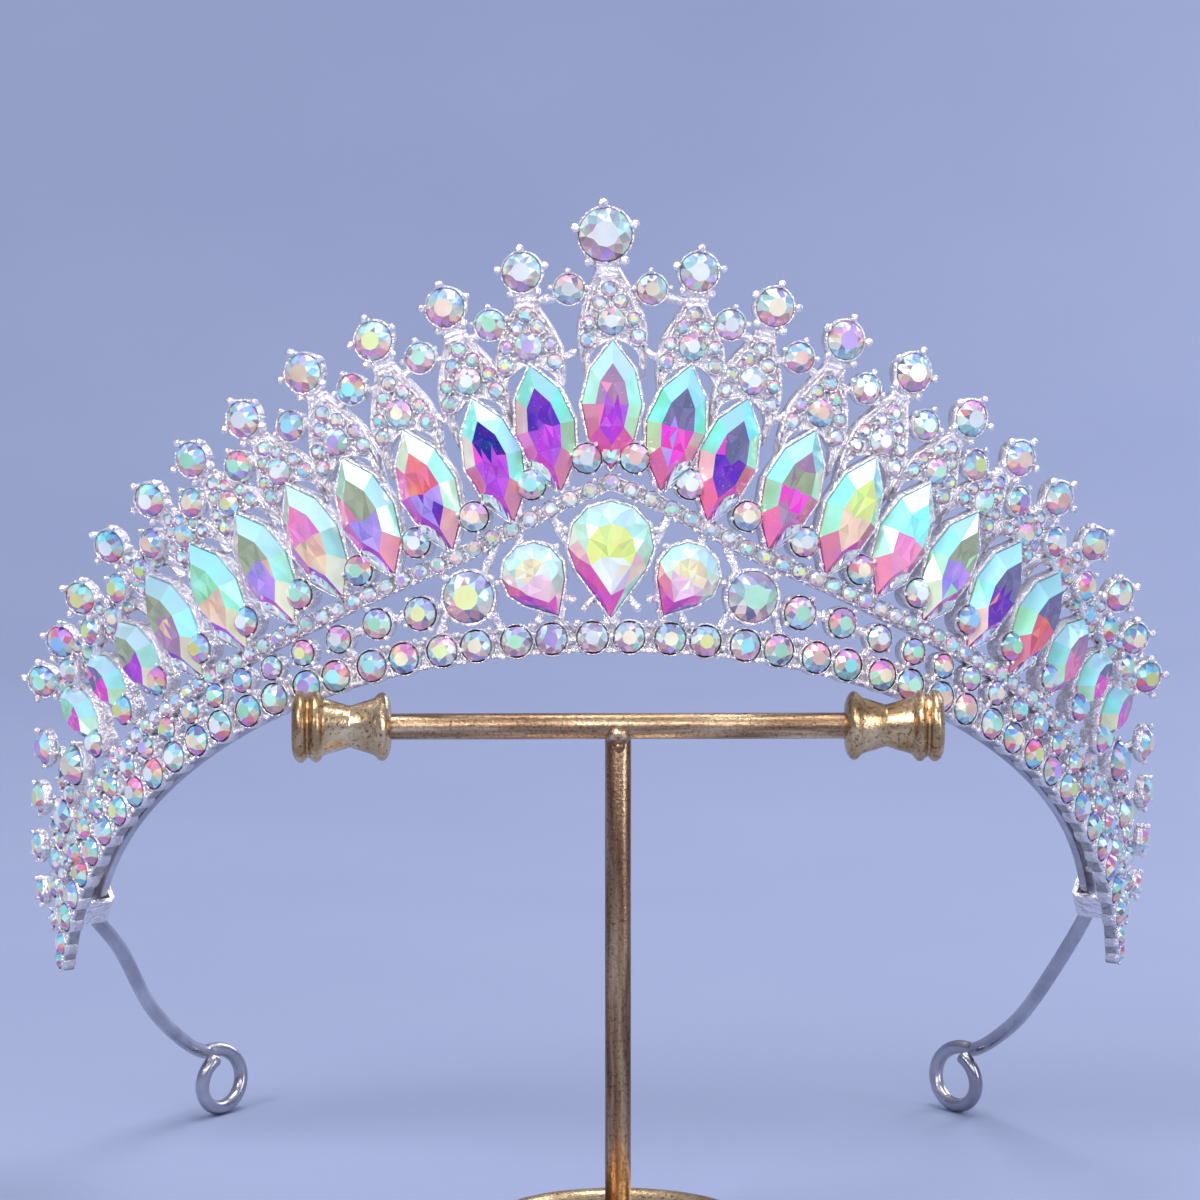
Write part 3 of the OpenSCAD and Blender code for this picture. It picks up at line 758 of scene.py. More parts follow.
def wire_silver():
    """Drawn wire and rolled strip: duller plate with fine marks along it."""
    n = material("wire_silver")
    cloud = n.noise(90, 3.0, 0.55)
    marks = n.noise(900, 2.0, 0.6)
    dark, middling, light = (0.34, 0.33, 0.37), (0.56, 0.55, 0.60), (0.72, 0.71, 0.76)
    return n.finish(
        Base_Color=n.ramp(cloud, (0.3, dark), (0.6, middling), (0.8, light)),
        Metallic=1.0,
        Roughness=n.map(cloud, 0.3, 0.7, 0.20, 0.36),
        Normal=n.bump(marks, 0.0001, 0.25),
    )


def crystal(name, speckle):
    """Coated glass over foil: each facet has its own colour from the mesh, partly a painted
    reflection of the coating by how the facet faces the light, clear and glossy on top.
    """
    n = material(name)
    cloud = n.noise(420, 1.0, 0.5)
    hue, value = n.map(cloud, 0.2, 0.8, 0.46, 0.54), n.map(cloud, 0.25, 0.75, 0.9, 1.08)
    coat = n.add("ShaderNodeHueSaturation", {"Hue": hue, "Value": value, "Color": n.tint()})
    dust = n.ramp(n.noise(5200, 1.0, 0.5), (0.70, grey(0)), (0.76, grey(1)))
    speckles = n.maths("MULTIPLY", dust, speckle)
    return n.finish(
        Base_Color=n.blend(speckles, coat.outputs["Color"], (0.95, 0.95, 1.0, 1)),
        Metallic=0.12,
        Roughness=0.14,
        Coat_Weight=1.0,
        Coat_Roughness=0.02,
        Coat_IOR=1.6,
    )


def antique_gold():
    """Antique gold plate with brown wear, dark specks and fine grain."""
    n = material("antique_gold")
    cloud = n.noise(130, 4.0, 0.65)
    grain = n.noise(2200, 2.0, 0.6)
    brown, gold, bright = (0.28, 0.165, 0.085), (0.56, 0.37, 0.19), (0.90, 0.70, 0.42)
    plate = n.ramp(cloud, (0.30, brown), (0.46, gold), (0.64, bright))
    specks = n.ramp(n.noise(2400, 2.0, 0.6), (0.30, (0.12, 0.07, 0.05)), (0.46, grey(1)))
    return n.finish(
        Base_Color=n.blend(0.85, plate, specks, "MULTIPLY"),
        Metallic=1.0,
        Roughness=n.map(cloud, 0.3, 0.7, 0.34, 0.20),
        Normal=n.bump(grain, 0.0001, 0.45),
    )


def worn_gold():
    """Rod of antique gold that is worn to brown, in streaks along the post and along the bar."""
    n = material("worn_gold")
    where = n.add("ShaderNodeTexCoord").outputs["Object"]
    height = n.add("ShaderNodeSeparateXYZ", {0: where}).outputs[2]
    on_post = n.maths("LESS_THAN", height, (BAR_Z - BAR_D / 2) * MM)
    along_bar, along_post = (n.noise(900, 3.0, 0.6, way) for way in ((0.06, 1, 1), (1, 1, 0.06)))
    streak = n.blend(on_post, along_bar, along_post)
    brown, gold, bright = (0.26, 0.155, 0.095), (0.50, 0.325, 0.19), (0.84, 0.63, 0.39)
    plate = n.ramp(streak, (0.36, brown), (0.50, gold), (0.64, bright))
    darker = n.maths("MULTIPLY", on_post, 0.8)
    plate = n.blend(darker, plate, (0.58, 0.50, 0.46, 1), "MULTIPLY")
    specks = n.ramp(n.noise(2600, 2.0, 0.7), (0.32, (0.28, 0.22, 0.20)), (0.50, grey(1)))
    return n.finish(
        Base_Color=n.blend(0.75, plate, specks, "MULTIPLY"),
        Metallic=1.0,
        Roughness=n.map(streak, 0.3, 0.7, 0.38, 0.22),
        Normal=n.bump(n.noise(2800, 2.0, 0.6), 0.0001, 0.6),
    )


def floor_material():
    n = material("floor")
    cloud = n.noise(9, 3.0, 0.5)
    return n.finish(
        Base_Color=n.ramp(cloud, (0.3, (0.255, 0.30, 0.46)), (0.7, (0.275, 0.32, 0.48))),
        Roughness=0.75,
    )


SILVER = cast_silver()
WIRE = wire_silver()
GEM = crystal("crystal_large", 0.35)
SMALL_GEM = crystal("crystal_small", 0.1)
GOLD = antique_gold()
WORN_GOLD = worn_gold()


# Stones

# Tones of the round stones' tables, the commoner ones more than once, and of their odd facets
ROUND_TABLES = (
    "cream", "cream", "white", "white", "white", "mint", "mint", "lime", "lime", "aqua",
    "lavender", "sky", "peach",
)
ODD_FACETS = ("white", "mauve", "lavender", "slate", "mint")
ODD_SHARE = 0.16
# Distance sideways from the middle at which their colours are strongest
VIVID_AT = 60
# Painted reflection of the coating on round stones, from facets that lean away from the light to
# facets that face it
ROUND_RUN = [
    # place on the run, hue, saturation, value
    (0.00, 0.760, 0.40, 0.88), (0.11, 0.860, 0.46, 0.97), (0.21, 0.940, 0.48, 1.00),
    (0.31, 1.010, 0.46, 1.00), (0.40, 1.085, 0.36, 1.00), (0.48, 1.150, 0.10, 0.96),
    (0.57, 1.420, 0.10, 0.96), (0.66, 1.490, 0.36, 0.98), (0.78, 1.550, 0.46, 1.00),
    (0.90, 1.610, 0.50, 0.94), (1.00, 1.690, 0.36, 0.86),
]


def round_tints(world, faces, dice, vivid):
    """Colours of a round stone's placed faces, painted by how each faces the light as a painted
    reflection of the coating: cool above, warm below, and pale near the middle of the crown. The
    last one is the table."""
    far = min(1.0, abs(world[0][0]) / VIVID_AT)
    vivid *= 0.48 + 0.52 * far
    shift_, turned = dice.uniform(-0.10, 0.10), dice.random() < 0.42 - 0.3 * far
    strength = vivid * dice.uniform(0.7, 1.1)
    made = []
    for face in faces[:-1]:
        where = 0.41 + 0.56 * lean_of(world, face) + shift_ + dice.uniform(-0.10, 0.10)
        if dice.random() < ODD_SHARE:
            made.append(tone(dice.choice(ODD_FACETS), dice, 0.1, 0.8))
        else:
            dim = dice.uniform(0.70 + 0.12 * far, 1.02)
            made.append(coating(1 - where if turned else where, dim, strength, ROUND_RUN))
    return made + [tone(dice.choice(ROUND_TABLES), dice, 0.08, 0.65 + 0.25 * far)]


def stone_bundle(name, rows, finish, replaces=(), seed=0, vivid=1.0):
    """One mesh of round stones from rows of frame, diameter and the height of the girdle's foot."""
    dice = random.Random(seed)
    shells = Shells()
    for frame_, d, z in rows:
        at_seat = frame_ @ shift(0, 0, z) @ rotation("Z", dice.uniform(0, 45))
        points, faces = round_stone(d, 10 if d > 4 else 8)
        world = points @ at_seat[:3, :3].T + at_seat[:3, 3]
        shells.add((world, faces), None, round_tints(world, faces, dice, vivid))
    make_piece(name, shells, finish, replaces)


def long_tints(shell, kinds, frame_, dice, tones, pear):
    """Colours of a marquise or pear: crown facets by their lean towards the light, a painted
    reflection of the coating, and table facets by named tones.
    """
    points = shell[0]
    low, high = points[:, 1].min(), points[:, 1].max()
    world = points @ frame_[:3, :3].T + frame_[:3, 3]
    split = dice.uniform(0.46, 0.56)
    shift_, pale = dice.uniform(-0.07, 0.05), dice.uniform(0.6, 1.1)
    upper, lower, flash = tones.split()
    made = []
    for face, kind in zip(shell[1], kinds):
        share = (points[face][:, 1].mean() - low) / (high - low)
        if kind == "table":
            name = upper if share > split else lower
            made.append(tone(flash if dice.random() < 0.07 else name, dice, 0.07))
        else:
            where = 0.56 + 0.55 * lean_of(world, face) + 0.3 * (share - 0.5) + shift_
            where += dice.uniform(-0.06, 0.06)
            if pear and where > 0.6:
                made.append(coating(where - 0.08, dice.uniform(0.9, 1.03), 0.55))
            elif pear and share > 0.2 and world[face][:, 0].mean() > frame_[0, 3] + 1.2:
                made.append(tone(dice.choice(("white", "cream", "blush", "mint")), dice, 0.06, 0.7))
            else:
                made.append(coating(where, dice.uniform(0.88, 1.03), pale if where > 0.62 else 1.0))
    return made


def long_piece(node, frame_, outline, table_w, table_l, tiers=1):
    dice = random.Random(f"stone {node}")
    frame_ = frame_ @ shift(0, 0, SEAT_FRONT)
    girdle = BEZEL_FRONT - SEAT_FRONT + GIRDLE_T
    shell, kinds = long_stone(outline, table_w, table_l, girdle, CROWN_H, dice, tiers)
    shells = Shells()
    shells.add(shell, frame_, long_tints(shell, kinds, frame_, dice, TABLES[node], tiers == 2))
    make_piece(f"stone_{node}", shells, GEM, [node])


def marquise_stones():
    for i, side, m in motif_sides():
        node = f"marquise_{dict(SIDES)[side]}_{i}" if i else "marquise_0"
        outline = marquise_outline(m[LENGTH], m[WIDTH])
        long_piece(node, on_marquise(m, side), outline, 0.56, 0.64)


# Places of the pears and the large rounds, with the side pears' lean, and the pears' sizes
PEAR_H = 13.1
SIDE_PEAR = (8.3, 9.9, 32)
ROUND_AT = (15.6, 8.0)
MIDDLE_PEAR_SIZE = (13.5, 10.0)
SIDE_PEAR_SIZE = (9.3, 7.4)


def pear_places():
    """(node, frame, length, width) of the three pears."""
    yield "pear_middle", on_plate(flat(0, PEAR_H)), *MIDDLE_PEAR_SIZE
    for side, name in SIDES:
        s, h, angle = SIDE_PEAR
        yield f"pear_{name}", on_plate(flat(side * s, h), side * angle), *SIDE_PEAR_SIZE


def pear_stones():
    for node, frame_, length, width in pear_places():
        long_piece(node, frame_, pear_outline(length, width), 0.58, 0.62, 2)


# Distance between two tips from which the setting between them has its full size
BETWEEN_ROOM = 8.4


def between_places():
    """(frame, share of full size) of the settings between neighbouring spikes."""
    for side in (-1, 1):
        for i in range(LAST):
            a, b = tip(MOTIFS[i]), tip(MOTIFS[i + 1])
            lean = (MOTIFS[i][LEAF_LEAN] + MOTIFS[i + 1][LEAF_LEAN]) / 2
            share = min(1.0, np.linalg.norm(b - a) / BETWEEN_ROOM)
            out = (MOTIFS[i][LEAF_OUT] + MOTIFS[i + 1][LEAF_OUT]) / 4
            p = (a + b) / 2 - BETWEEN_ROOM / 2 * share * towards(lean)
            yield on_plate(on_side(p, side), side * lean, out), 0.4 + 0.6 * share


# Clear drops on the nearest marquises: how many a side, size, turn and height over the plate
DROPS = 8
DROP_L = 4.5
DROP_W = 2.3
DROP_TURN = 16
DROP_Z = 0.35
DROP_TONES = ("white", "white", "white", "cream", "mint", "lavender", "slate", "sky")


def drop_places():
    """Frames of the clear drops that stand with their points on the marquises' feet."""
    for i, side, m in motif_sides():
        if 0 < i <= DROPS:
            lean = m[LEAN] + DROP_TURN
            p = foot(m) + (DROP_L - DROP_W / 2 + 0.2) * towards(lean) + 0.5 * towards(m[LEAN] + 90)
            yield on_plate(on_side(p, side), side * lean) @ shift(0, 0, DROP_Z)


def drop_stones():
    dice = random.Random("drops")
    shells = Shells()
    for frame_ in drop_places():
        shell, _ = long_stone(pear_outline(DROP_L, DROP_W, 6), 0.45, 0.5, 1.35, 0.6, dice, 2)
        tints = [tone(dice.choice(DROP_TONES), dice, 0.08, 0.6) for _ in shell[1]]
        shells.add(shell, frame_, tints)
    make_piece("drop_stones", shells, SMALL_GEM)


# Stones on a leaf, in its own frame at full size
LEAF_STONES = [
    # x y diameter
    (0.0, 6.0, 1.75), (-1.25, 4.45, 1.6), (1.25, 4.45, 1.6), (0.0, 2.25, 3.2), (-2.65, 2.3, 1.5),
    (2.65, 2.3, 1.5), (-2.95, 0.2, 1.75), (2.95, 0.2, 1.75),
]


def leaf_scale(m):
    """Shares of a full leaf's length and width."""
    share = min(1.0, m[REACH] / 11)
    return share, 0.35 + 0.65 * share


def leaf_stones_of(m, side):
    """(frame, diameter, seat height) of the small stones on a leaf."""
    long_, wide = leaf_scale(m)
    frame_ = on_leaf(m, side)
    for x, y, d in LEAF_STONES:
        if long_ < 0.6 and abs(x) > 1 and y > 3:
            continue
        yield frame_ @ shift(x * wide, y * long_, 0), d * (0.3 + 0.7 * wide), LEAF_T / 2 + 0.05


BASE_STONE_D = 3.5
BASE_PITCH = 4.37
BASE_H = 2.2
BASE_COUNT = 24
LAST_STONE_S = 101.0
# The nearest stones to the middle stand in loose pairs: how many, and the shift of even and odd
PAIRED = 12
PAIR_SHIFT = (-0.1, 0.22)
# Share of full size at the plate's ends, and the lengths over which stones and rails shrink to it
END_SHARE = 0.62
STONES_SHRINK, RAILS_SHRINK = 9, 8

ARCH_STONE_D = 2.1
ARCH_PITCH = 2.05
ARCH_COUNT = 47

# The row of small rounds past GALLERY: its start, pitch, number, diameter and distance below the
# middle between the rails
ROW_S, ROW_PITCH, ROW_COUNT, ROW_D, ROW_BELOW = 45.2, 4.4, 10, 3.2, 0.4


def base_places():
    """(frame, share) of the stones in the base rail."""
    dice = random.Random("base row")
    for side in (-1, 1):
        for k in range(BASE_COUNT):
            paired = PAIR_SHIFT[k % 2] if k < PAIRED else 0
            s = side * min(BASE_PITCH * (k + 0.5) + paired, LAST_STONE_S)
            to_end = HALF_LENGTH - abs(s)
            share = min(1.0, END_SHARE + (1 - END_SHARE) * to_end / STONES_SHRINK)
            yield at(s, BASE_H * share) @ rotation("Z", dice.uniform(-4, 4)), share


def arch_places():
    for side in (-1, 1):
        for k in range(0 if side > 0 else 1, ARCH_COUNT):
            s = side * k * ARCH_PITCH
            slope = arch_h(s + 0.5) - arch_h(s - 0.5)
            yield at(s, arch_h(s)) @ rotation("Z", degrees(atan(slope)))


def gallery_places():
    """(frame, diameter) of the small rounds between the rails past the big ones."""
    for side in (-1, 1):
        for s, h, d in GALLERY:
            yield on_plate(flat(side * s, h)), d
        for k in range(ROW_COUNT):
            s = ROW_S + ROW_PITCH * k
            h = (BASE_RAIL_W + arch_h(s)) / 2 - ROW_BELOW
            yield on_plate(flat(side * s, h)), ROW_D


def end_places():
    """(frame, diameter) of the rounds past the last marquise."""
    for side in (-1, 1):
        for s, h, d in END_ROUNDS + END_FILL:
            yield at(side * s, h), d


# Share that a small stone has of its place's diameter
SHOWN = 0.86
# Round stone over the foot of the middle marquise: diameter, and how far up the marquise
POINT_STONE_D, POINT_UP = 2.2, 1.7
# Bundles with paler tones than the rest
LESS_VIVID = {"arch_stones": 0.6, "leaf_stones": 0.8}


def small_bundles(bundles):
    for name, rows, seed in bundles:
        stone_bundle(name, rows, SMALL_GEM, seed=seed, vivid=LESS_VIVID.get(name, 1))


def rail_stones():
    """Base row, arch row, the stones at the marquises' feet and the one over the middle foot."""
    lip = BEZEL_FRONT
    m = MOTIFS[0]
    over_foot = on_plate(foot(m) + POINT_UP * towards(m[LEAN]), m[LEAN])
    pips = [(side, s, h) for side in (-1, 1) for s, h in PIPS]
    base = [(f, BASE_STONE_D * share, lip - 0.25) for f, share in base_places()]
    arch = [(f, ARCH_STONE_D * SHOWN, lip - 0.1) for f in arch_places()]
    feet = [(at(side * s, h), PIP_STONE_D, lip + 0.5) for side, s, h in pips]
    point = [(over_foot, POINT_STONE_D, lip + 0.75)]
    small_bundles([
        ("base_row_stones", base, 1), ("arch_stones", arch, 2), ("foot_stones", feet, 3),
        ("point_stone", point, 8),
    ])


def spike_stones():
    """Stones between the spikes, on the leaves, in the gallery and at the ends."""
    lip = BEZEL_FRONT
    between = [(f, BETWEEN_STONE_D * share, 0.45) for f, share in between_places()]
    leaves = [row for _, side, m in motif_sides() for row in leaf_stones_of(m, side)]
    gallery = [(f, d * SHOWN, lip - 0.2) for f, d in gallery_places()]
    ends = [(f, d * SHOWN, lip - 0.2) for f, d in end_places()]
    small_bundles([
        ("between_stones", between, 4), ("leaf_stones", leaves, 5),
        ("gallery_stones", gallery, 6), ("end_stones", ends, 7),
    ])


def tip_rows(side):
    """(frame, diameter, seat height) of the stones on one side's spikes."""
    for m in MOTIFS[1:]:
        yield on_tip(m, side), tip_d(m), LEAF_T / 2
    for s, h, out, d in END_TIPS:
        yield at(side * s, h, out), d, SEAT_FRONT


def large_rounds():
    top_row = [(on_tip(MOTIFS[0], 1), TOP_STONE_D, LEAF_T / 2)]
    stone_bundle("stone_top", top_row, GEM, ["top_stone"], 11)
    for side, name in SIDES:
        tips = f"stones_spikes_{name}", list(tip_rows(side))
        stone_bundle(*tips, GEM, [f"spike_stones_{name}"], 12 + side)
        s, h = ROUND_AT
        row = [(on_plate(flat(side * s, h)), ROUND_STONE_D, SEAT_FRONT + 0.25)]
        stone_bundle(f"stone_round_{name}", row, GEM, [f"round_{name}"], 22 + side)


# Casting

RAIL_PROFILE = [
    # share of the half width, height over the plate's middle, painted shade (grey) of the band to
    # the next row: darker on the underside and the floor between the edges
    (-1.0, -0.7, 0.45), (-1.0, 0.55, 0.8), (-0.94, 0.75, 1.0), (-0.80, 0.78, 0.8),
    (-0.70, 0.62, 0.55), (-0.2, 0.60, 0.55), (0.2, 0.60, 0.55), (0.70, 0.62, 0.8),
    (0.80, 0.78, 1.0), (0.94, 0.75, 0.9), (1.0, 0.55, 0.7), (1.0, -0.7, 0.7), (0.85, -0.9, 0.75),
    (-0.85, -0.9, 0.5),
]


def rail(shells, end, step, height_at, width_at):
    """Rail with two raised edges that follows the plate."""
    rings = []
    n = int(end / step)
    for k in range(-n, n + 1):
        s = k * end / n
        h, half = height_at(s), width_at(s) / 2
        rings.append([bent(flat(s, h + share * half), z)[:3, 3] for share, z, _ in RAIL_PROFILE])
    # Painted shade of each band along the rail, and of its two ends
    shades = [grey(row[2]) for row in RAIL_PROFILE] * (2 * n) + [grey(0.8)] * 2
    shells.add(loft(rings), None, shades)


def end_share(s):
    return END_SHARE + (1 - END_SHARE) * min(1.0, (HALF_LENGTH - abs(s)) / RAILS_SHRINK)


BASE_STRIP_W = 3.5
ARCH_STRIP_W = 2.0
RAIL_STEP = 2.0
# Beads of the base rail: their rows' heights over its middle line, and how near they stand to the
# ends of a stone's place
BEAD_ROWS = (1.72, -1.62)
BEAD_IN = 0.35
# Beads of the arch rail, from a stone's middle along the rail and across it either way
ARCH_BEAD_X, ARCH_BEAD_Y = 1.02, 0.95


def casting_rails():
    shells = Shells()
    rail(
        shells, HALF_LENGTH, RAIL_STEP, lambda s: BASE_H * end_share(s),
        lambda s: BASE_STRIP_W * end_share(s),
    )
    rail(shells, ARCH_END, RAIL_STEP, arch_h, lambda s: ARCH_STRIP_W)
    dice = random.Random("rails")
    for frame_, share in base_places():
        # Wide gap, whose inside is painted dark as shadow
        add_cup(shells, frame_, BASE_STONE_D * share, 0.40 * share, gap=0.15 * share)
        half = BASE_PITCH / 2 * share
        for y in BEAD_ROWS:
            for x in (-half + BEAD_IN, half - BEAD_IN):
                off = dice.uniform(-0.15, 0.15)
                bead(shells, frame_, x + off, y * share, 0.9, 0.34 * share)
        bead(shells, frame_, half, dice.uniform(-0.6, 0.6), 0.72, 0.42 * share)
    for frame_ in arch_places():
        add_cup(shells, frame_, ARCH_STONE_D * SHOWN, 0.2, sides=14)
        for y in (ARCH_BEAD_Y, -ARCH_BEAD_Y):
            bead(shells, frame_, ARCH_BEAD_X, y, 0.85, 0.24)
    return shells


CUP_ROWS = [
    # wall, height, painted shade (grey)
    (-0.3, 0.1, 0.30), (0.03, 0.15, 0.30), (0.03, 0.9, 0.7), (0.09, 1.04, 1.0), (0.28, 1.04, 1.0),
    (0.42, 0.86, 0.95), (0.46, 0.2, 0.78), (0.42, -0.6, 0.8), (0.32, -0.95, 0.85),
    (0.12, -1.0, 0.85), (-0.15, -0.98, 0.45), (-0.45, -0.5, 0.35),
]
DROP_ROWS = [
    # wall, height, painted shade (grey)
    (-0.1, 0.5, 0.10), (0.05, 0.55, 0.2), (0.08, 1.25, 1.0), (0.2, 1.3, 1.0), (0.26, 1.1, 0.7),
    (0.26, 0.4, 0.7), (0.1, 0.3, 0.7),
]


def casting_cups():
    """Bezels of the marquises, pears and rounds, with their prongs."""
    shells = Shells()
    for _, side, m in motif_sides():
        frame_ = on_marquise(m, side)
        add_bezel(shells, frame_, marquise_outline(m[LENGTH], m[WIDTH]), CUP_ROWS)
        for x in (-0.9, 0.9):
            bead(shells, frame_, x, -m[LENGTH] / 2 * 0.93, 1.1, 0.4)
    for _, frame_, length, width in pear_places():
        add_bezel(shells, frame_, pear_outline(length, width), CUP_ROWS)
        r = width / 2 + 0.45
        prongs(shells, frame_, (-72, 72), (r, r + 0.15), (-0.2, 1.25), 0.42)
        for x in (-1, 1):
            reach = length - width / 2
            low = place(frame_, x * width * 0.20, -reach * 0.74, 0)
            high = place(frame_, x * width * 0.31, -reach * 0.88, 0.9)
            shells.add(stick(low, high, 0.5, 0.42))
            shells.add(ball(high, 0.58))
    for frame_ in drop_places():
        add_bezel(shells, frame_, pear_outline(DROP_L, DROP_W, 10, 2), DROP_ROWS, (0.1, 0.6))
    for side in (-1, 1):
        s, h = ROUND_AT
        frame_ = on_plate(flat(side * s, h))
        add_cup(shells, frame_, ROUND_STONE_D, 0.45, lip=1.05, sides=32)
        prongs(shells, frame_, (-130, -50, 50, 130), (3.4, 3.5), (-0.3, 1.45), 0.5)
    return shells


LEAF_OUTLINE = [
    # share of the way from the legs to the neck, share of the half width
    (0.0, 0.80), (0.10, 0.88), (0.22, 0.95), (0.40, 1.0), (0.52, 0.94), (0.62, 0.81), (0.72, 0.65),
    (0.80, 0.50), (0.88, 0.36), (0.95, 0.27), (1.0, 0.25),
]
# A leaf's legs reach this far below the marquise's top, and join this far above it
LEG_L = 4.9
FORK_Y = 0.25
# Steps of a leaf's front inwards from its edge, and their heights
EDGE_STEPS = (0.0, 0.10, 0.26, 0.42, 0.58, 0.72, 0.86, 1.0, 1.15)
EDGE_RISE = (-0.22, 0.05, 0.24, 0.12, -0.14, 0.10, 0.18, 0.04, -0.20)


def leaf_half(m, y):
    """Outer and inner half widths of a leaf at y. The inner one leaves room for the marquise."""
    _, wide = leaf_scale(m)
    legs, neck = -LEG_L * wide, m[REACH] - tip_d(m) / 2
    share = (y - legs) / (neck - legs)
    outer = LEAF_W / 2 * wide * float(np.interp(share, *zip(*LEAF_OUTLINE)))
    below = FORK_Y - y
    if below <= 0:
        return outer, 0.0
    w, l = m[WIDTH], m[LENGTH]
    r = (l * l + w * w) / (4 * w)
    arc = sqrt(max(r * r - (l / 2 - below) ** 2, 0)) - r + w / 2
    slot = 0.75 * sin(pi * min(1.0, below / 3.2)) if below < 3.2 else 0.0
    return outer, min(max(arc, 0) + 0.35 + slot, outer - 0.35)


def leaf_rise(k, fork):
    """Height of a leaf's front over its plate, from its edge inwards. A leg's inner edge is low."""
    if fork and k >= len(EDGE_STEPS) + 2:
        return (-0.02, 0.1)[k - len(EDGE_STEPS) - 2]
    return EDGE_RISE[k] if k < len(EDGE_RISE) else -0.16


def leaf_painted_shade(k, fronts, fork):
    """Painted shade (grey) of the band that starts at a corner of a leaf's section: darker where
    the front dips low, and in the recess on its back.
    """
    if k in (0, fronts - 1):
        return 0.8
    if k < fronts - 1:
        rise = (leaf_rise(k - 1, fork) + leaf_rise(k, fork)) / 2
        return min(1.0, max(0.78, 0.95 + 1.0 * rise))
    return (0.85, 0.7, 0.55, 0.7, 0.85)[k - fronts]


def leaf(shells, m, side):
    """Leaf-shaped plate with a double raised edge and two legs beside the marquise's top."""
    _, wide = leaf_scale(m)
    frame_ = on_leaf(m, side)
    legs, neck = -LEG_L * wide, m[REACH] - tip_d(m) / 2
    rows = np.linspace(legs, FORK_Y, 12), np.linspace(FORK_Y, neck, 16)[1:]
    rows = np.concatenate(rows)
    points, faces, tints = [], [], []
    fronts = len(EDGE_STEPS) + 5
    width = fronts + 5
    front, back = LEAF_T / 2 - 0.05, -LEAF_T / 2
    for y in rows:
        outer, inner = leaf_half(m, y)
        room = outer - inner
        most = [room * (0.08 + 0.5 * k / len(EDGE_STEPS)) for k in range(len(EDGE_STEPS))]
        steps = [min(pair) for pair in zip(EDGE_STEPS, most)]
        steps += [steps[-1] + (room - steps[-1]) * k / 4 for k in range(1, 5)]
        for x_sign in (-1, 1):
            row = [(x_sign * outer, y, back)]
            for k, d in enumerate(steps):
                row.append((x_sign * (outer - d), y, front + leaf_rise(k, inner > 0)))
            row.append((x_sign * inner, y, back))
            for share, z in ((0.12, back), (0.30, back + 0.4), (0.70, back + 0.4), (0.86, back)):
                row.append((x_sign * (inner + share * room), y, z))
            points += row
    for j in range(len(rows) - 1):
        fork = rows[j] < FORK_Y - 1e-6
        for half in (0, 1):
            a = (2 * j + half) * width
            b = a + 2 * width
            for k in range(width):
                if k == fronts - 1 and not fork:
                    continue
                n = (k + 1) % width
                faces.append([a + k, a + n, b + n, b + k])
                tints.append(grey(leaf_painted_shade(k, fronts, fork)))
    for j in (0, len(rows) - 1):
        for half in (0, 1):
            a = (2 * j + half) * width
            faces.append([a + k for k in range(width)])
            tints.append(grey(0.8))
    shells.add((np.array(points), faces), frame_, tints)


def casting_leaves():
    shells = Shells()
    dice = random.Random("leaves")
    for i, side, m in motif_sides():
        leaf(shells, m, side)
        frame_, seat = on_leaf(m, side), on_tip(m, side)
        d = TOP_STONE_D if i == 0 else tip_d(m)
        lip = LEAF_T / 2 + 0.4
        add_cup(shells, seat, d, 0.34, back=-LEAF_T / 2 - 0.1, lip=lip, sides=28)
        ball_r = 0.62 if i == 0 else 0.52
        reach, heights = d / 2 + 0.34, (0.1, LEAF_T / 2 + 0.1 * d + 0.25)
        for angles, far in ((FIVE_PRONGS[:3], 0.22), (FIVE_PRONGS[3:], 0.35)):
            prongs(shells, seat, angles, (reach, reach + far), heights, ball_r, 4, dice)
        for k, half in ((0.35, 1.35), (1.05, 1.15), (1.7, 1.05)):
            y = m[REACH] - d / 2 - k
            left, right = (place(frame_, x, y, 0.35) for x in (-half, half))
            shells.add(stick(left, right, 0.42, 0.42))
        for stone_frame, size, z in leaf_stones_of(m, side):
            add_cup(shells, stone_frame, size, 0.2, back=0.1, lip=z + 0.22, sides=14)
            for angle in (45, 135, 225, 315):
                x, y = (size / 2 + 0.2) * towards(angle + dice.uniform(-15, 15))
                bead(shells, stone_frame, x, y, z + 0.18, 0.22)
    return shells


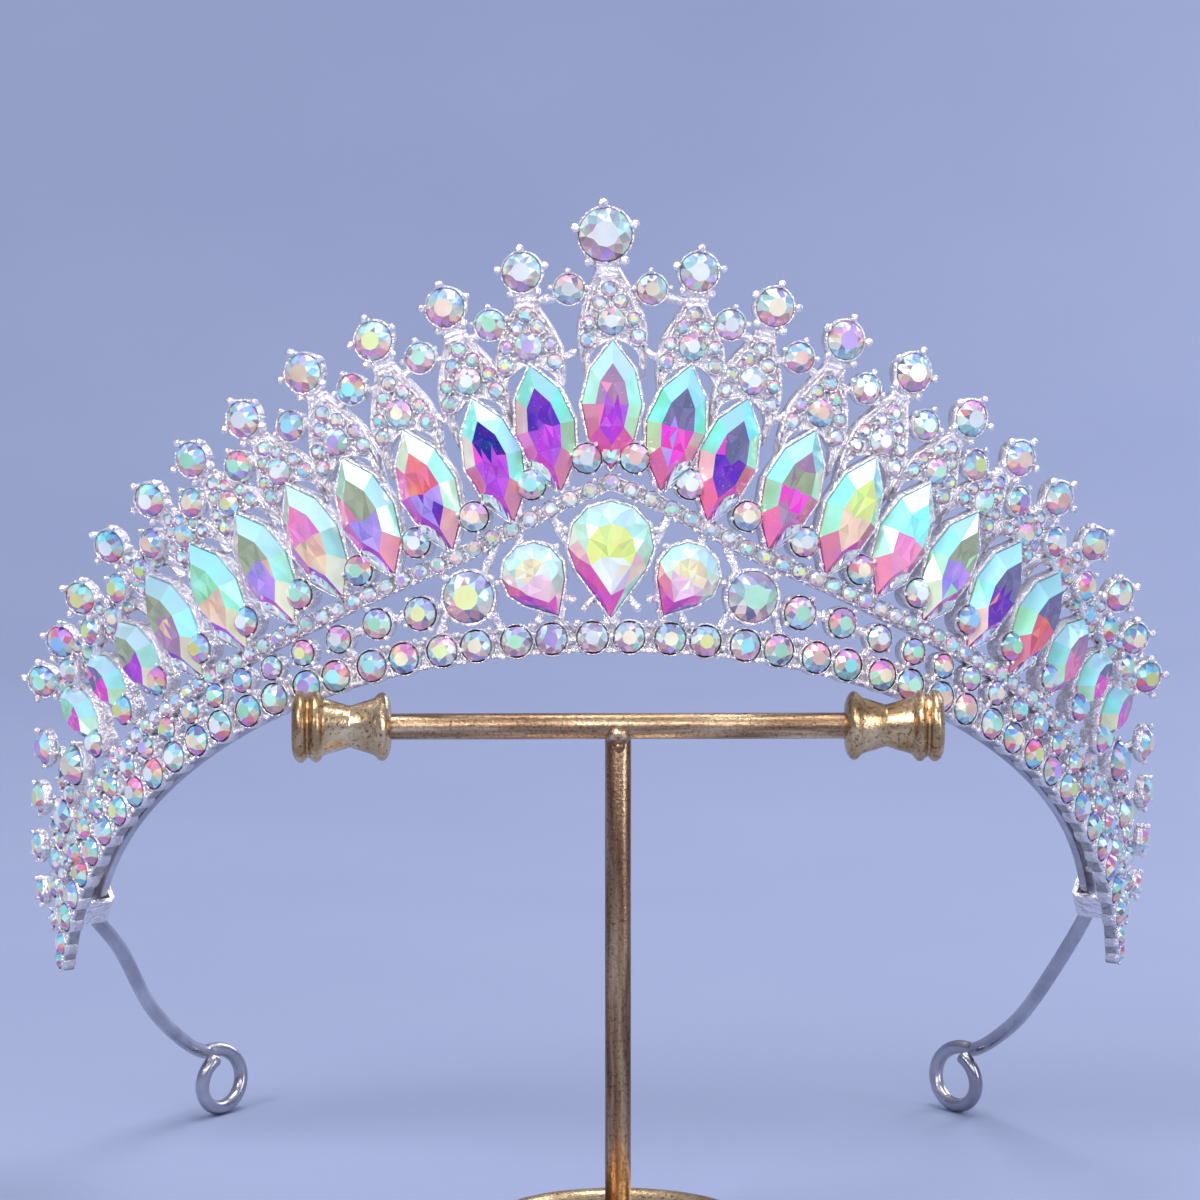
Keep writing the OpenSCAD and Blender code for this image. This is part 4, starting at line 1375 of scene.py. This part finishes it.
def casting_links():
    """Settings between spikes, at the marquises' feet and between the rails, and their arms."""
    shells = Shells()
    dice = random.Random("links")
    for frame_, share in between_places():
        d = BETWEEN_STONE_D * share
        r = d / 2
        add_cup(shells, frame_, d, 0.26, back=-0.6, lip=0.85)
        prongs(shells, frame_, (0, -82, 82), (r + 0.25, r + 0.4), (0.0, 1.0), 0.38, 5, dice)
        for x in (-1, 1):
            a = place(frame_, x * r * 0.8, -r * 0.5, -0.05)
            b = place(frame_, x * 3.65 * share, -1.3 * share, -0.1)
            shells.add(stick(a, b, 0.5, 0.55, swell=0.15))
    for side in (-1, 1):
        for s, h in PIPS:
            frame_ = at(side * s, h)
            add_cup(shells, frame_, PIP_STONE_D, 0.28, lip=BEZEL_FRONT + 0.6, gap=0.08)
            prongs(shells, frame_, (30, 150, 270), (1.9, 1.95), (0.5, 1.7), 0.3, 20, dice)
        for s0, h0, s1, h1 in ARMS:
            a, b = (bent(flat(side * s, h))[:3, 3] for s, h in ((s0, h0), (s1, h1)))
            shells.add(stick(a, b, 0.62, 0.62, swell=-0.15))
            for _ in range(3):
                off = [dice.uniform(-0.5, 0.5) for _ in range(3)]
                shells.add(ball((a + b) / 2 + off, 0.36, 7, 4))
        for m, n in zip(MOTIFS, MOTIFS[1:]):
            a = place(on_leaf(m, side), side * (leaf_half(m, -1.6)[0] - 0.2), -1.6, 0.0)
            b = place(on_leaf(n, side), -side * (leaf_half(n, 0.6)[0] - 0.2), 0.6, 0.0)
            shells.add(stick(a, b, 0.5, 0.5, swell=-0.1))
    for frame_, d in gallery_places():
        r = d * SHOWN / 2
        add_cup(shells, frame_, d * SHOWN, 0.30, lip=BEZEL_FRONT, gap=0.10)
        reach, ball_r = (r + 0.25, r + 0.35), 0.2 + 0.04 * d
        prongs(shells, frame_, FOUR_PRONGS, reach, (0.0, 1.05), ball_r, 12, dice)
    for frame_, d in end_places():
        r = d * SHOWN / 2
        add_cup(shells, frame_, d * SHOWN, 0.34, lip=BEZEL_FRONT, gap=0.10)
        reach, ball_r = (r + 0.3, r + 0.4), 0.18 + 0.035 * d
        prongs(shells, frame_, FOUR_PRONGS, reach, (0.0, 1.1), ball_r)
    return shells


def casting_ends():
    """Small spikes past the last marquise, and the tabs that hold the headband."""
    shells = Shells()
    for side in (-1, 1):
        for k, (s, h, out, d) in enumerate(END_TIPS):
            frame_ = at(side * s, h, out)
            add_cup(shells, frame_, d, 0.28, back=-0.45, lip=0.75)
            prongs(shells, frame_, FIVE_PRONGS, (d / 2 + 0.25, d / 2 + 0.4), (0.0, 0.9), 0.38)
            s0, h0, _ = END_ROUNDS[min(k, len(END_ROUNDS) - 1)]
            a = bent(flat(side * s, h), out - 0.1)[:3, 3]
            b = bent(flat(side * s0, h0), -0.3)[:3, 3]
            shells.add(stick(a, b, 0.75, 0.95))
        tab(shells, side)
    return shells


BAND_W = 3.0
BAND_T = 1.1
BAND_LIFT = 0.25
TAB_S = 92
TAB_W = 4.0
TAB_T = 0.6
# Past DRIFT_S the band drifts up and back from the rail, to its full amount at BAND_END
BAND_H = 1.9
DRIFT_S = 66
DRIFT_UP = 1.1
DRIFT_BACK = 1.5
BAND_END = 95


def drift(s):
    x = max(0.0, (abs(s) - DRIFT_S) / (BAND_END - DRIFT_S))
    return x * x * (3 - 2 * x)


def band_place(s):
    deep = PLATE_T / 2 + BAND_LIFT + BAND_T / 2 + DRIFT_BACK * drift(s)
    return bent(flat(s, BAND_H + DRIFT_UP * drift(s)), -deep)


def tab(shells, side):
    """Strip of metal folded round the headband."""
    h = BAND_H + DRIFT_UP * drift(TAB_S)
    reach = BAND_W / 2 + BAND_LIFT + TAB_T / 2
    low, high = h - reach, h + reach
    deep = -(PLATE_T / 2 + 2 * BAND_LIFT + BAND_T + DRIFT_BACK * drift(TAB_S)) - TAB_T / 2
    frame_ = on_plate(flat(side * TAB_S, 0), side * turn(TAB_S))
    half, r = TAB_T / 2, 0.35
    path = [
        (low, -0.4), (low, deep + r), (low + r, deep), (high - r, deep), (high, deep + r),
        (high, -0.4),
    ]
    rings = []
    for i, (y, z) in enumerate(path):
        y0, z0 = path[max(i - 1, 0)]
        y1, z1 = path[min(i + 1, len(path) - 1)]
        ahead = np.array([y1 - y0, z1 - z0])
        n = np.array([-ahead[1], ahead[0]]) / np.linalg.norm(ahead) * half
        corners = ((-TAB_W / 2, -1), (TAB_W / 2, -1), (TAB_W / 2, 1), (-TAB_W / 2, 1))
        rings.append([(x, y + k * n[0], z + k * n[1]) for x, k in corners])
    shells.add(loft(rings), frame_)


def casting():
    parts = {
        "rails": casting_rails(),
        "cups": casting_cups(),
        "leaves": casting_leaves(),
        "links": casting_links(),
        "ends": casting_ends(),
    }
    for name, shells in parts.items():
        replaced = ["front_casting"] if name == "rails" else ()
        make_piece(f"casting_{name}", shells, SILVER, replaced, smooth=50)


# Headband

LOOP_H = 9.6
LOOP_L = 10.6
WIRE_D = 1.9
LOOP_HEADING = 42
LOOP_START = 108
LOOP_TURN = 344
LOOP_STEP = 2.8
LOOP_Y = 79.7
# Rings round a loop, degrees before it at which the wire is aimed, and rings along the strip
LOOP_RINGS = 40
AIM_BEFORE = 40
STRIP_RINGS = 96
WIRES = {
    # side: loop centre's x, then places between the strip and the loop
    1: (48.3, [(57.6, 50, 25.8), (54.4, 61.5, 17.0), (51.5, 71.2, 11.5)]),
    -1: (-53.2, [(-63.0, 49, 28.2), (-60.2, 61, 18.4), (-56.8, 71.2, 11.8)]),
}


def loop_axes(side):
    """Level directions along a loop and forwards out of it."""
    c, s = cos(radians(LOOP_HEADING)), sin(radians(LOOP_HEADING))
    return np.array([-side * s, c, 0]), np.array([-side * c, -s, 0])


def loop_point(side, angle):
    """Place on the middle line of a loop, which steps forwards on its way round."""
    a = radians(angle)
    along, forwards = loop_axes(side)
    centre = np.array([WIRES[side][0], LOOP_Y, LOOP_H / 2])
    centre = centre + LOOP_STEP * (LOOP_START - angle) / LOOP_TURN * forwards
    half_l, half_h = (LOOP_L - WIRE_D) / 2, (LOOP_H - WIRE_D) / 2
    return centre + half_l * cos(a) * along + half_h * sin(a) * UP


def section(centre, a, b, half_a, half_b, power):
    """Ring of 16 corners across the band: round at power 1, squarer below it."""
    angles = (np.arange(16) + 0.5) * 2 * np.pi / 16
    c, s = np.cos(angles), np.sin(angles)
    x = np.sign(c) * np.abs(c) ** power * half_a
    y = np.sign(s) * np.abs(s) ** power * half_b
    return centre + x[:, None] * a + y[:, None] * b


def headband():
    """Strip behind the lower rail, wire past it, and a loop at each end, in one sweep."""
    strip, ends = [], {}
    for k in range(STRIP_RINGS + 1):
        s = -BAND_END + 2 * BAND_END * k / STRIP_RINGS
        b, t = band_place(s), radians(turn(s))
        up = sin(t) * b[:3, 0] + cos(t) * b[:3, 1]
        strip.append(section(b[:3, 3], up, b[:3, 2], BAND_W / 2, BAND_T / 2, 0.35))
    for side in (-1, 1):
        start = [band_place(side * s)[:3, 3] for s in (BAND_END - 4, BAND_END)]
        entry = [loop_point(side, angle) for angle in (LOOP_START, LOOP_START - AIM_BEFORE)]
        # The curve's first and last stretches only aim it
        way = smooth_path(np.array(start + WIRES[side][1] + entry), 8)[9:-8]
        angles = [LOOP_START - LOOP_TURN * k / LOOP_RINGS for k in range(1, LOOP_RINGS + 1)]
        path = np.concatenate([way, [loop_point(side, angle) for angle in angles]])
        ahead = np.gradient(path, axis=0) * side
        ahead /= np.linalg.norm(ahead, axis=1)[:, None]
        rings = []
        for i, p in enumerate(path):
            level = ahead[i] if i < len(way) else loop_axes(side)[0] * side
            front = np.cross(level, UP)
            front /= np.linalg.norm(front)
            up = np.cross(front, ahead[i])
            rings.append(section(p, up, front, WIRE_D / 2, WIRE_D / 2, 1.0))
        for share, past in ((0.86, 0.25), (0.45, 0.45)):
            r = WIRE_D / 2 * share
            rings.append(section(path[-1] + past * side * ahead[-1], up, front, r, r, 1.0))
        ends[side] = rings
    shells = Shells()
    shells.add(loft(ends[-1][::-1] + strip + ends[1]))
    make_piece("band", shells, WIRE, ["headband"], smooth=60)


# Stand

BAR_L = 77.0
KNOB_L = 11.7
FOOT_R = 15.5
FOOT_T = 5.0
KNOB_PROFILE = [
    # distance from the inner face, radius
    (0.0, 1.7), (0.05, 2.6), (0.3, 3.4), (0.7, 3.95), (1.1, 4.1), (1.5, 3.95), (1.9, 3.55),
    (2.1, 3.36), (4.75, 2.52), (4.9, 2.48), (5.05, 2.52), (7.9, 3.36), (8.05, 3.42), (8.15, 3.6),
    (8.3, 3.9), (8.7, 4.22), (9.1, 4.25), (9.5, 3.95), (9.7, 3.7), (9.95, 3.7), (10.15, 4.0),
    (10.5, 4.28), (10.9, 4.28), (11.3, 4.0), (11.6, 3.5), (11.7, 2.9), (11.62, 1.5),
]
FOOT_EDGE = [
    # distance in from the rim, height
    (0.8, 0), (0.25, 0.15), (0, 0.7), (0.15, 1.6), (0.5, 2.0), (0.4, 3.0), (0, 4.0), (0.05, 4.6),
    (0.5, FOOT_T), (1.1, FOOT_T), (1.6, FOOT_T - 0.25), (2.3, FOOT_T - 0.7), (6, FOOT_T - 0.62),
]
FOOT_BOSS = [
    # radius, height over the foot
    (5.0, -0.5), (3.9, -0.3), (3.4, 0.05), (3.0, 0.3), (2.4, 0.4), (BAR_D / 2 + 0.02, 0.4),
    (BAR_D / 2 + 0.02, -1),
]


def stand():
    for side, name in SIDES:
        axis = shift(0, 0, BAR_Z) @ rotation("Y", side * 90) @ shift(0, 0, BAR_L / 2 - KNOB_L)
        shells = Shells()
        shells.add(lathe([(r, z) for z, r in KNOB_PROFILE], 48), axis)
        node = f"stand_knob_{name}"
        make_piece(f"knob_{name}", shells, GOLD, [node], smooth=40)

    shells = Shells()
    length = BAR_L - 2 * KNOB_L + 2
    r = BAR_D / 2
    across = shift(-length / 2, 0, BAR_Z) @ rotation("Y", 90)
    bar = [(r - 0.15, 0), (r, 0.15), (r, length - 0.15), (r - 0.15, length)]
    post = [(r - 0.1, FOOT_T - 2), (r, FOOT_T - 1.8), (r, BAR_Z - 1.0), (r - 0.4, BAR_Z - 0.2)]
    shells.add(lathe(bar, 32), across)
    shells.add(lathe(post, 32))
    shells.add(ball((0, -0.75, BAR_Z - 0.9), 1.5, 20, 10))
    shells.add(ball((0.1, -1.2, BAR_Z - 2.3), 0.75, 14, 7))
    make_piece("tbar", shells, WORN_GOLD, ["stand_tbar"], smooth=40)

    shells = Shells()
    profile = [(FOOT_R - x, z) for x, z in FOOT_EDGE] + [(x, FOOT_T + z) for x, z in FOOT_BOSS]
    shells.add(lathe(profile, 96))
    make_piece("foot", shells, GOLD, ["stand_foot"], smooth=40)


# Stage. The floor and the lights are in metres, the camera in millimetres.

STAGE_Y = -0.25
STAGE_SIDES = 64
FLOOR_R, RISE_R, RISE_ROWS = 0.8, 0.5, 10
WALL_R, WALL_H = 1.32, 0.62
LOOK_AT = (0, 0.01, 0.085)
LIGHTS = [
    # name, place, width and height, power, colour
    ("key", (-0.55, -0.75, 0.85), (0.4, 0.4), 9, (1.0, 0.97, 0.95)),
    ("front", (0.15, -1.5, 0.8), (1.2, 0.7), 8, (0.97, 0.98, 1.0)),
    ("fill", (0.85, -0.5, 0.4), (0.3, 0.6), 2.6, (0.95, 0.97, 1.0)),
    ("overhead", (0.1, 0.05, 0.95), (0.6, 0.4), 4.5, (1, 1, 1)),
    ("rim", (0.5, 0.7, 0.55), (0.4, 0.6), 3, (0.9, 0.93, 1.0)),
]
SKY_LOW, SKY_HIGH, SKY_STRENGTH = (0.06, 0.07, 0.17), (0.85, 0.86, 1.0), 0.6
CAMERA_AT = (-10.9, -597.5, 152.8)
CAMERA_TILT, CAMERA_TURN = 83, -0.84
LENS, SENSOR = 153.15, 36


def add_object(name, data):
    made = bpy.data.objects.new(name, data)
    bpy.context.scene.collection.objects.link(made)
    return made


def stage():
    """Round floor that turns up into a low wall all about the object."""
    rows = [(FLOOR_R / 2, 0), (FLOOR_R, 0)]
    for a in np.linspace(0.15, pi / 2, RISE_ROWS):
        rows.append((FLOOR_R + RISE_R * sin(a), RISE_R - RISE_R * cos(a)))
    rows.append((WALL_R, WALL_H))
    rings = [circle(r, z, STAGE_SIDES) + (0, STAGE_Y, 0) for r, z in rows]
    points, faces = loft(rings, closed=False)
    mesh = bpy.data.meshes.new("floor")
    mesh.from_pydata(points.tolist(), [], [list(range(STAGE_SIDES))] + faces)
    mesh.shade_smooth()
    mesh.materials.append(floor_material())
    add_object("floor", mesh)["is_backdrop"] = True


def lights():
    for name, where, size, power, colour in LIGHTS:
        light = bpy.data.lights.new(name, "AREA")
        light.shape, light.size, light.size_y = "RECTANGLE", size[0], size[1]
        light.energy, light.color = power, colour
        made = add_object(name, light)
        made.location = where
        way = Vector(LOOK_AT) - Vector(where)
        made.rotation_euler = way.to_track_quat("-Z", "Y").to_euler()
    n = Nodes(bpy.data.worlds.new("studio"), "Background")
    where = n.add("ShaderNodeTexCoord").outputs["Generated"]
    height = n.add("ShaderNodeSeparateXYZ", {0: where}).outputs["Z"]
    sky = n.ramp(height, (0, SKY_LOW), (1, SKY_HIGH))
    bpy.context.scene.world = n.finish(Color=sky, Strength=SKY_STRENGTH)


def camera():
    data = bpy.data.cameras.new("camera")
    data.lens, data.sensor_width = LENS, SENSOR
    made = add_object("camera", data)
    made.location = Vector(CAMERA_AT) * MM
    made.rotation_euler = (radians(CAMERA_TILT), 0, radians(CAMERA_TURN))
    bpy.context.scene.camera = made


camera()
stage()
lights()
casting()
marquise_stones()
pear_stones()
large_rounds()
rail_stones()
drop_stones()
spike_stones()
headband()
stand()
bpy.context.scene.view_settings.view_transform = "Standard"

boxes = {"cad": cad_box, "visual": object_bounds()}
{name: [list(corner) for corner in box] for name, box in boxes.items()}
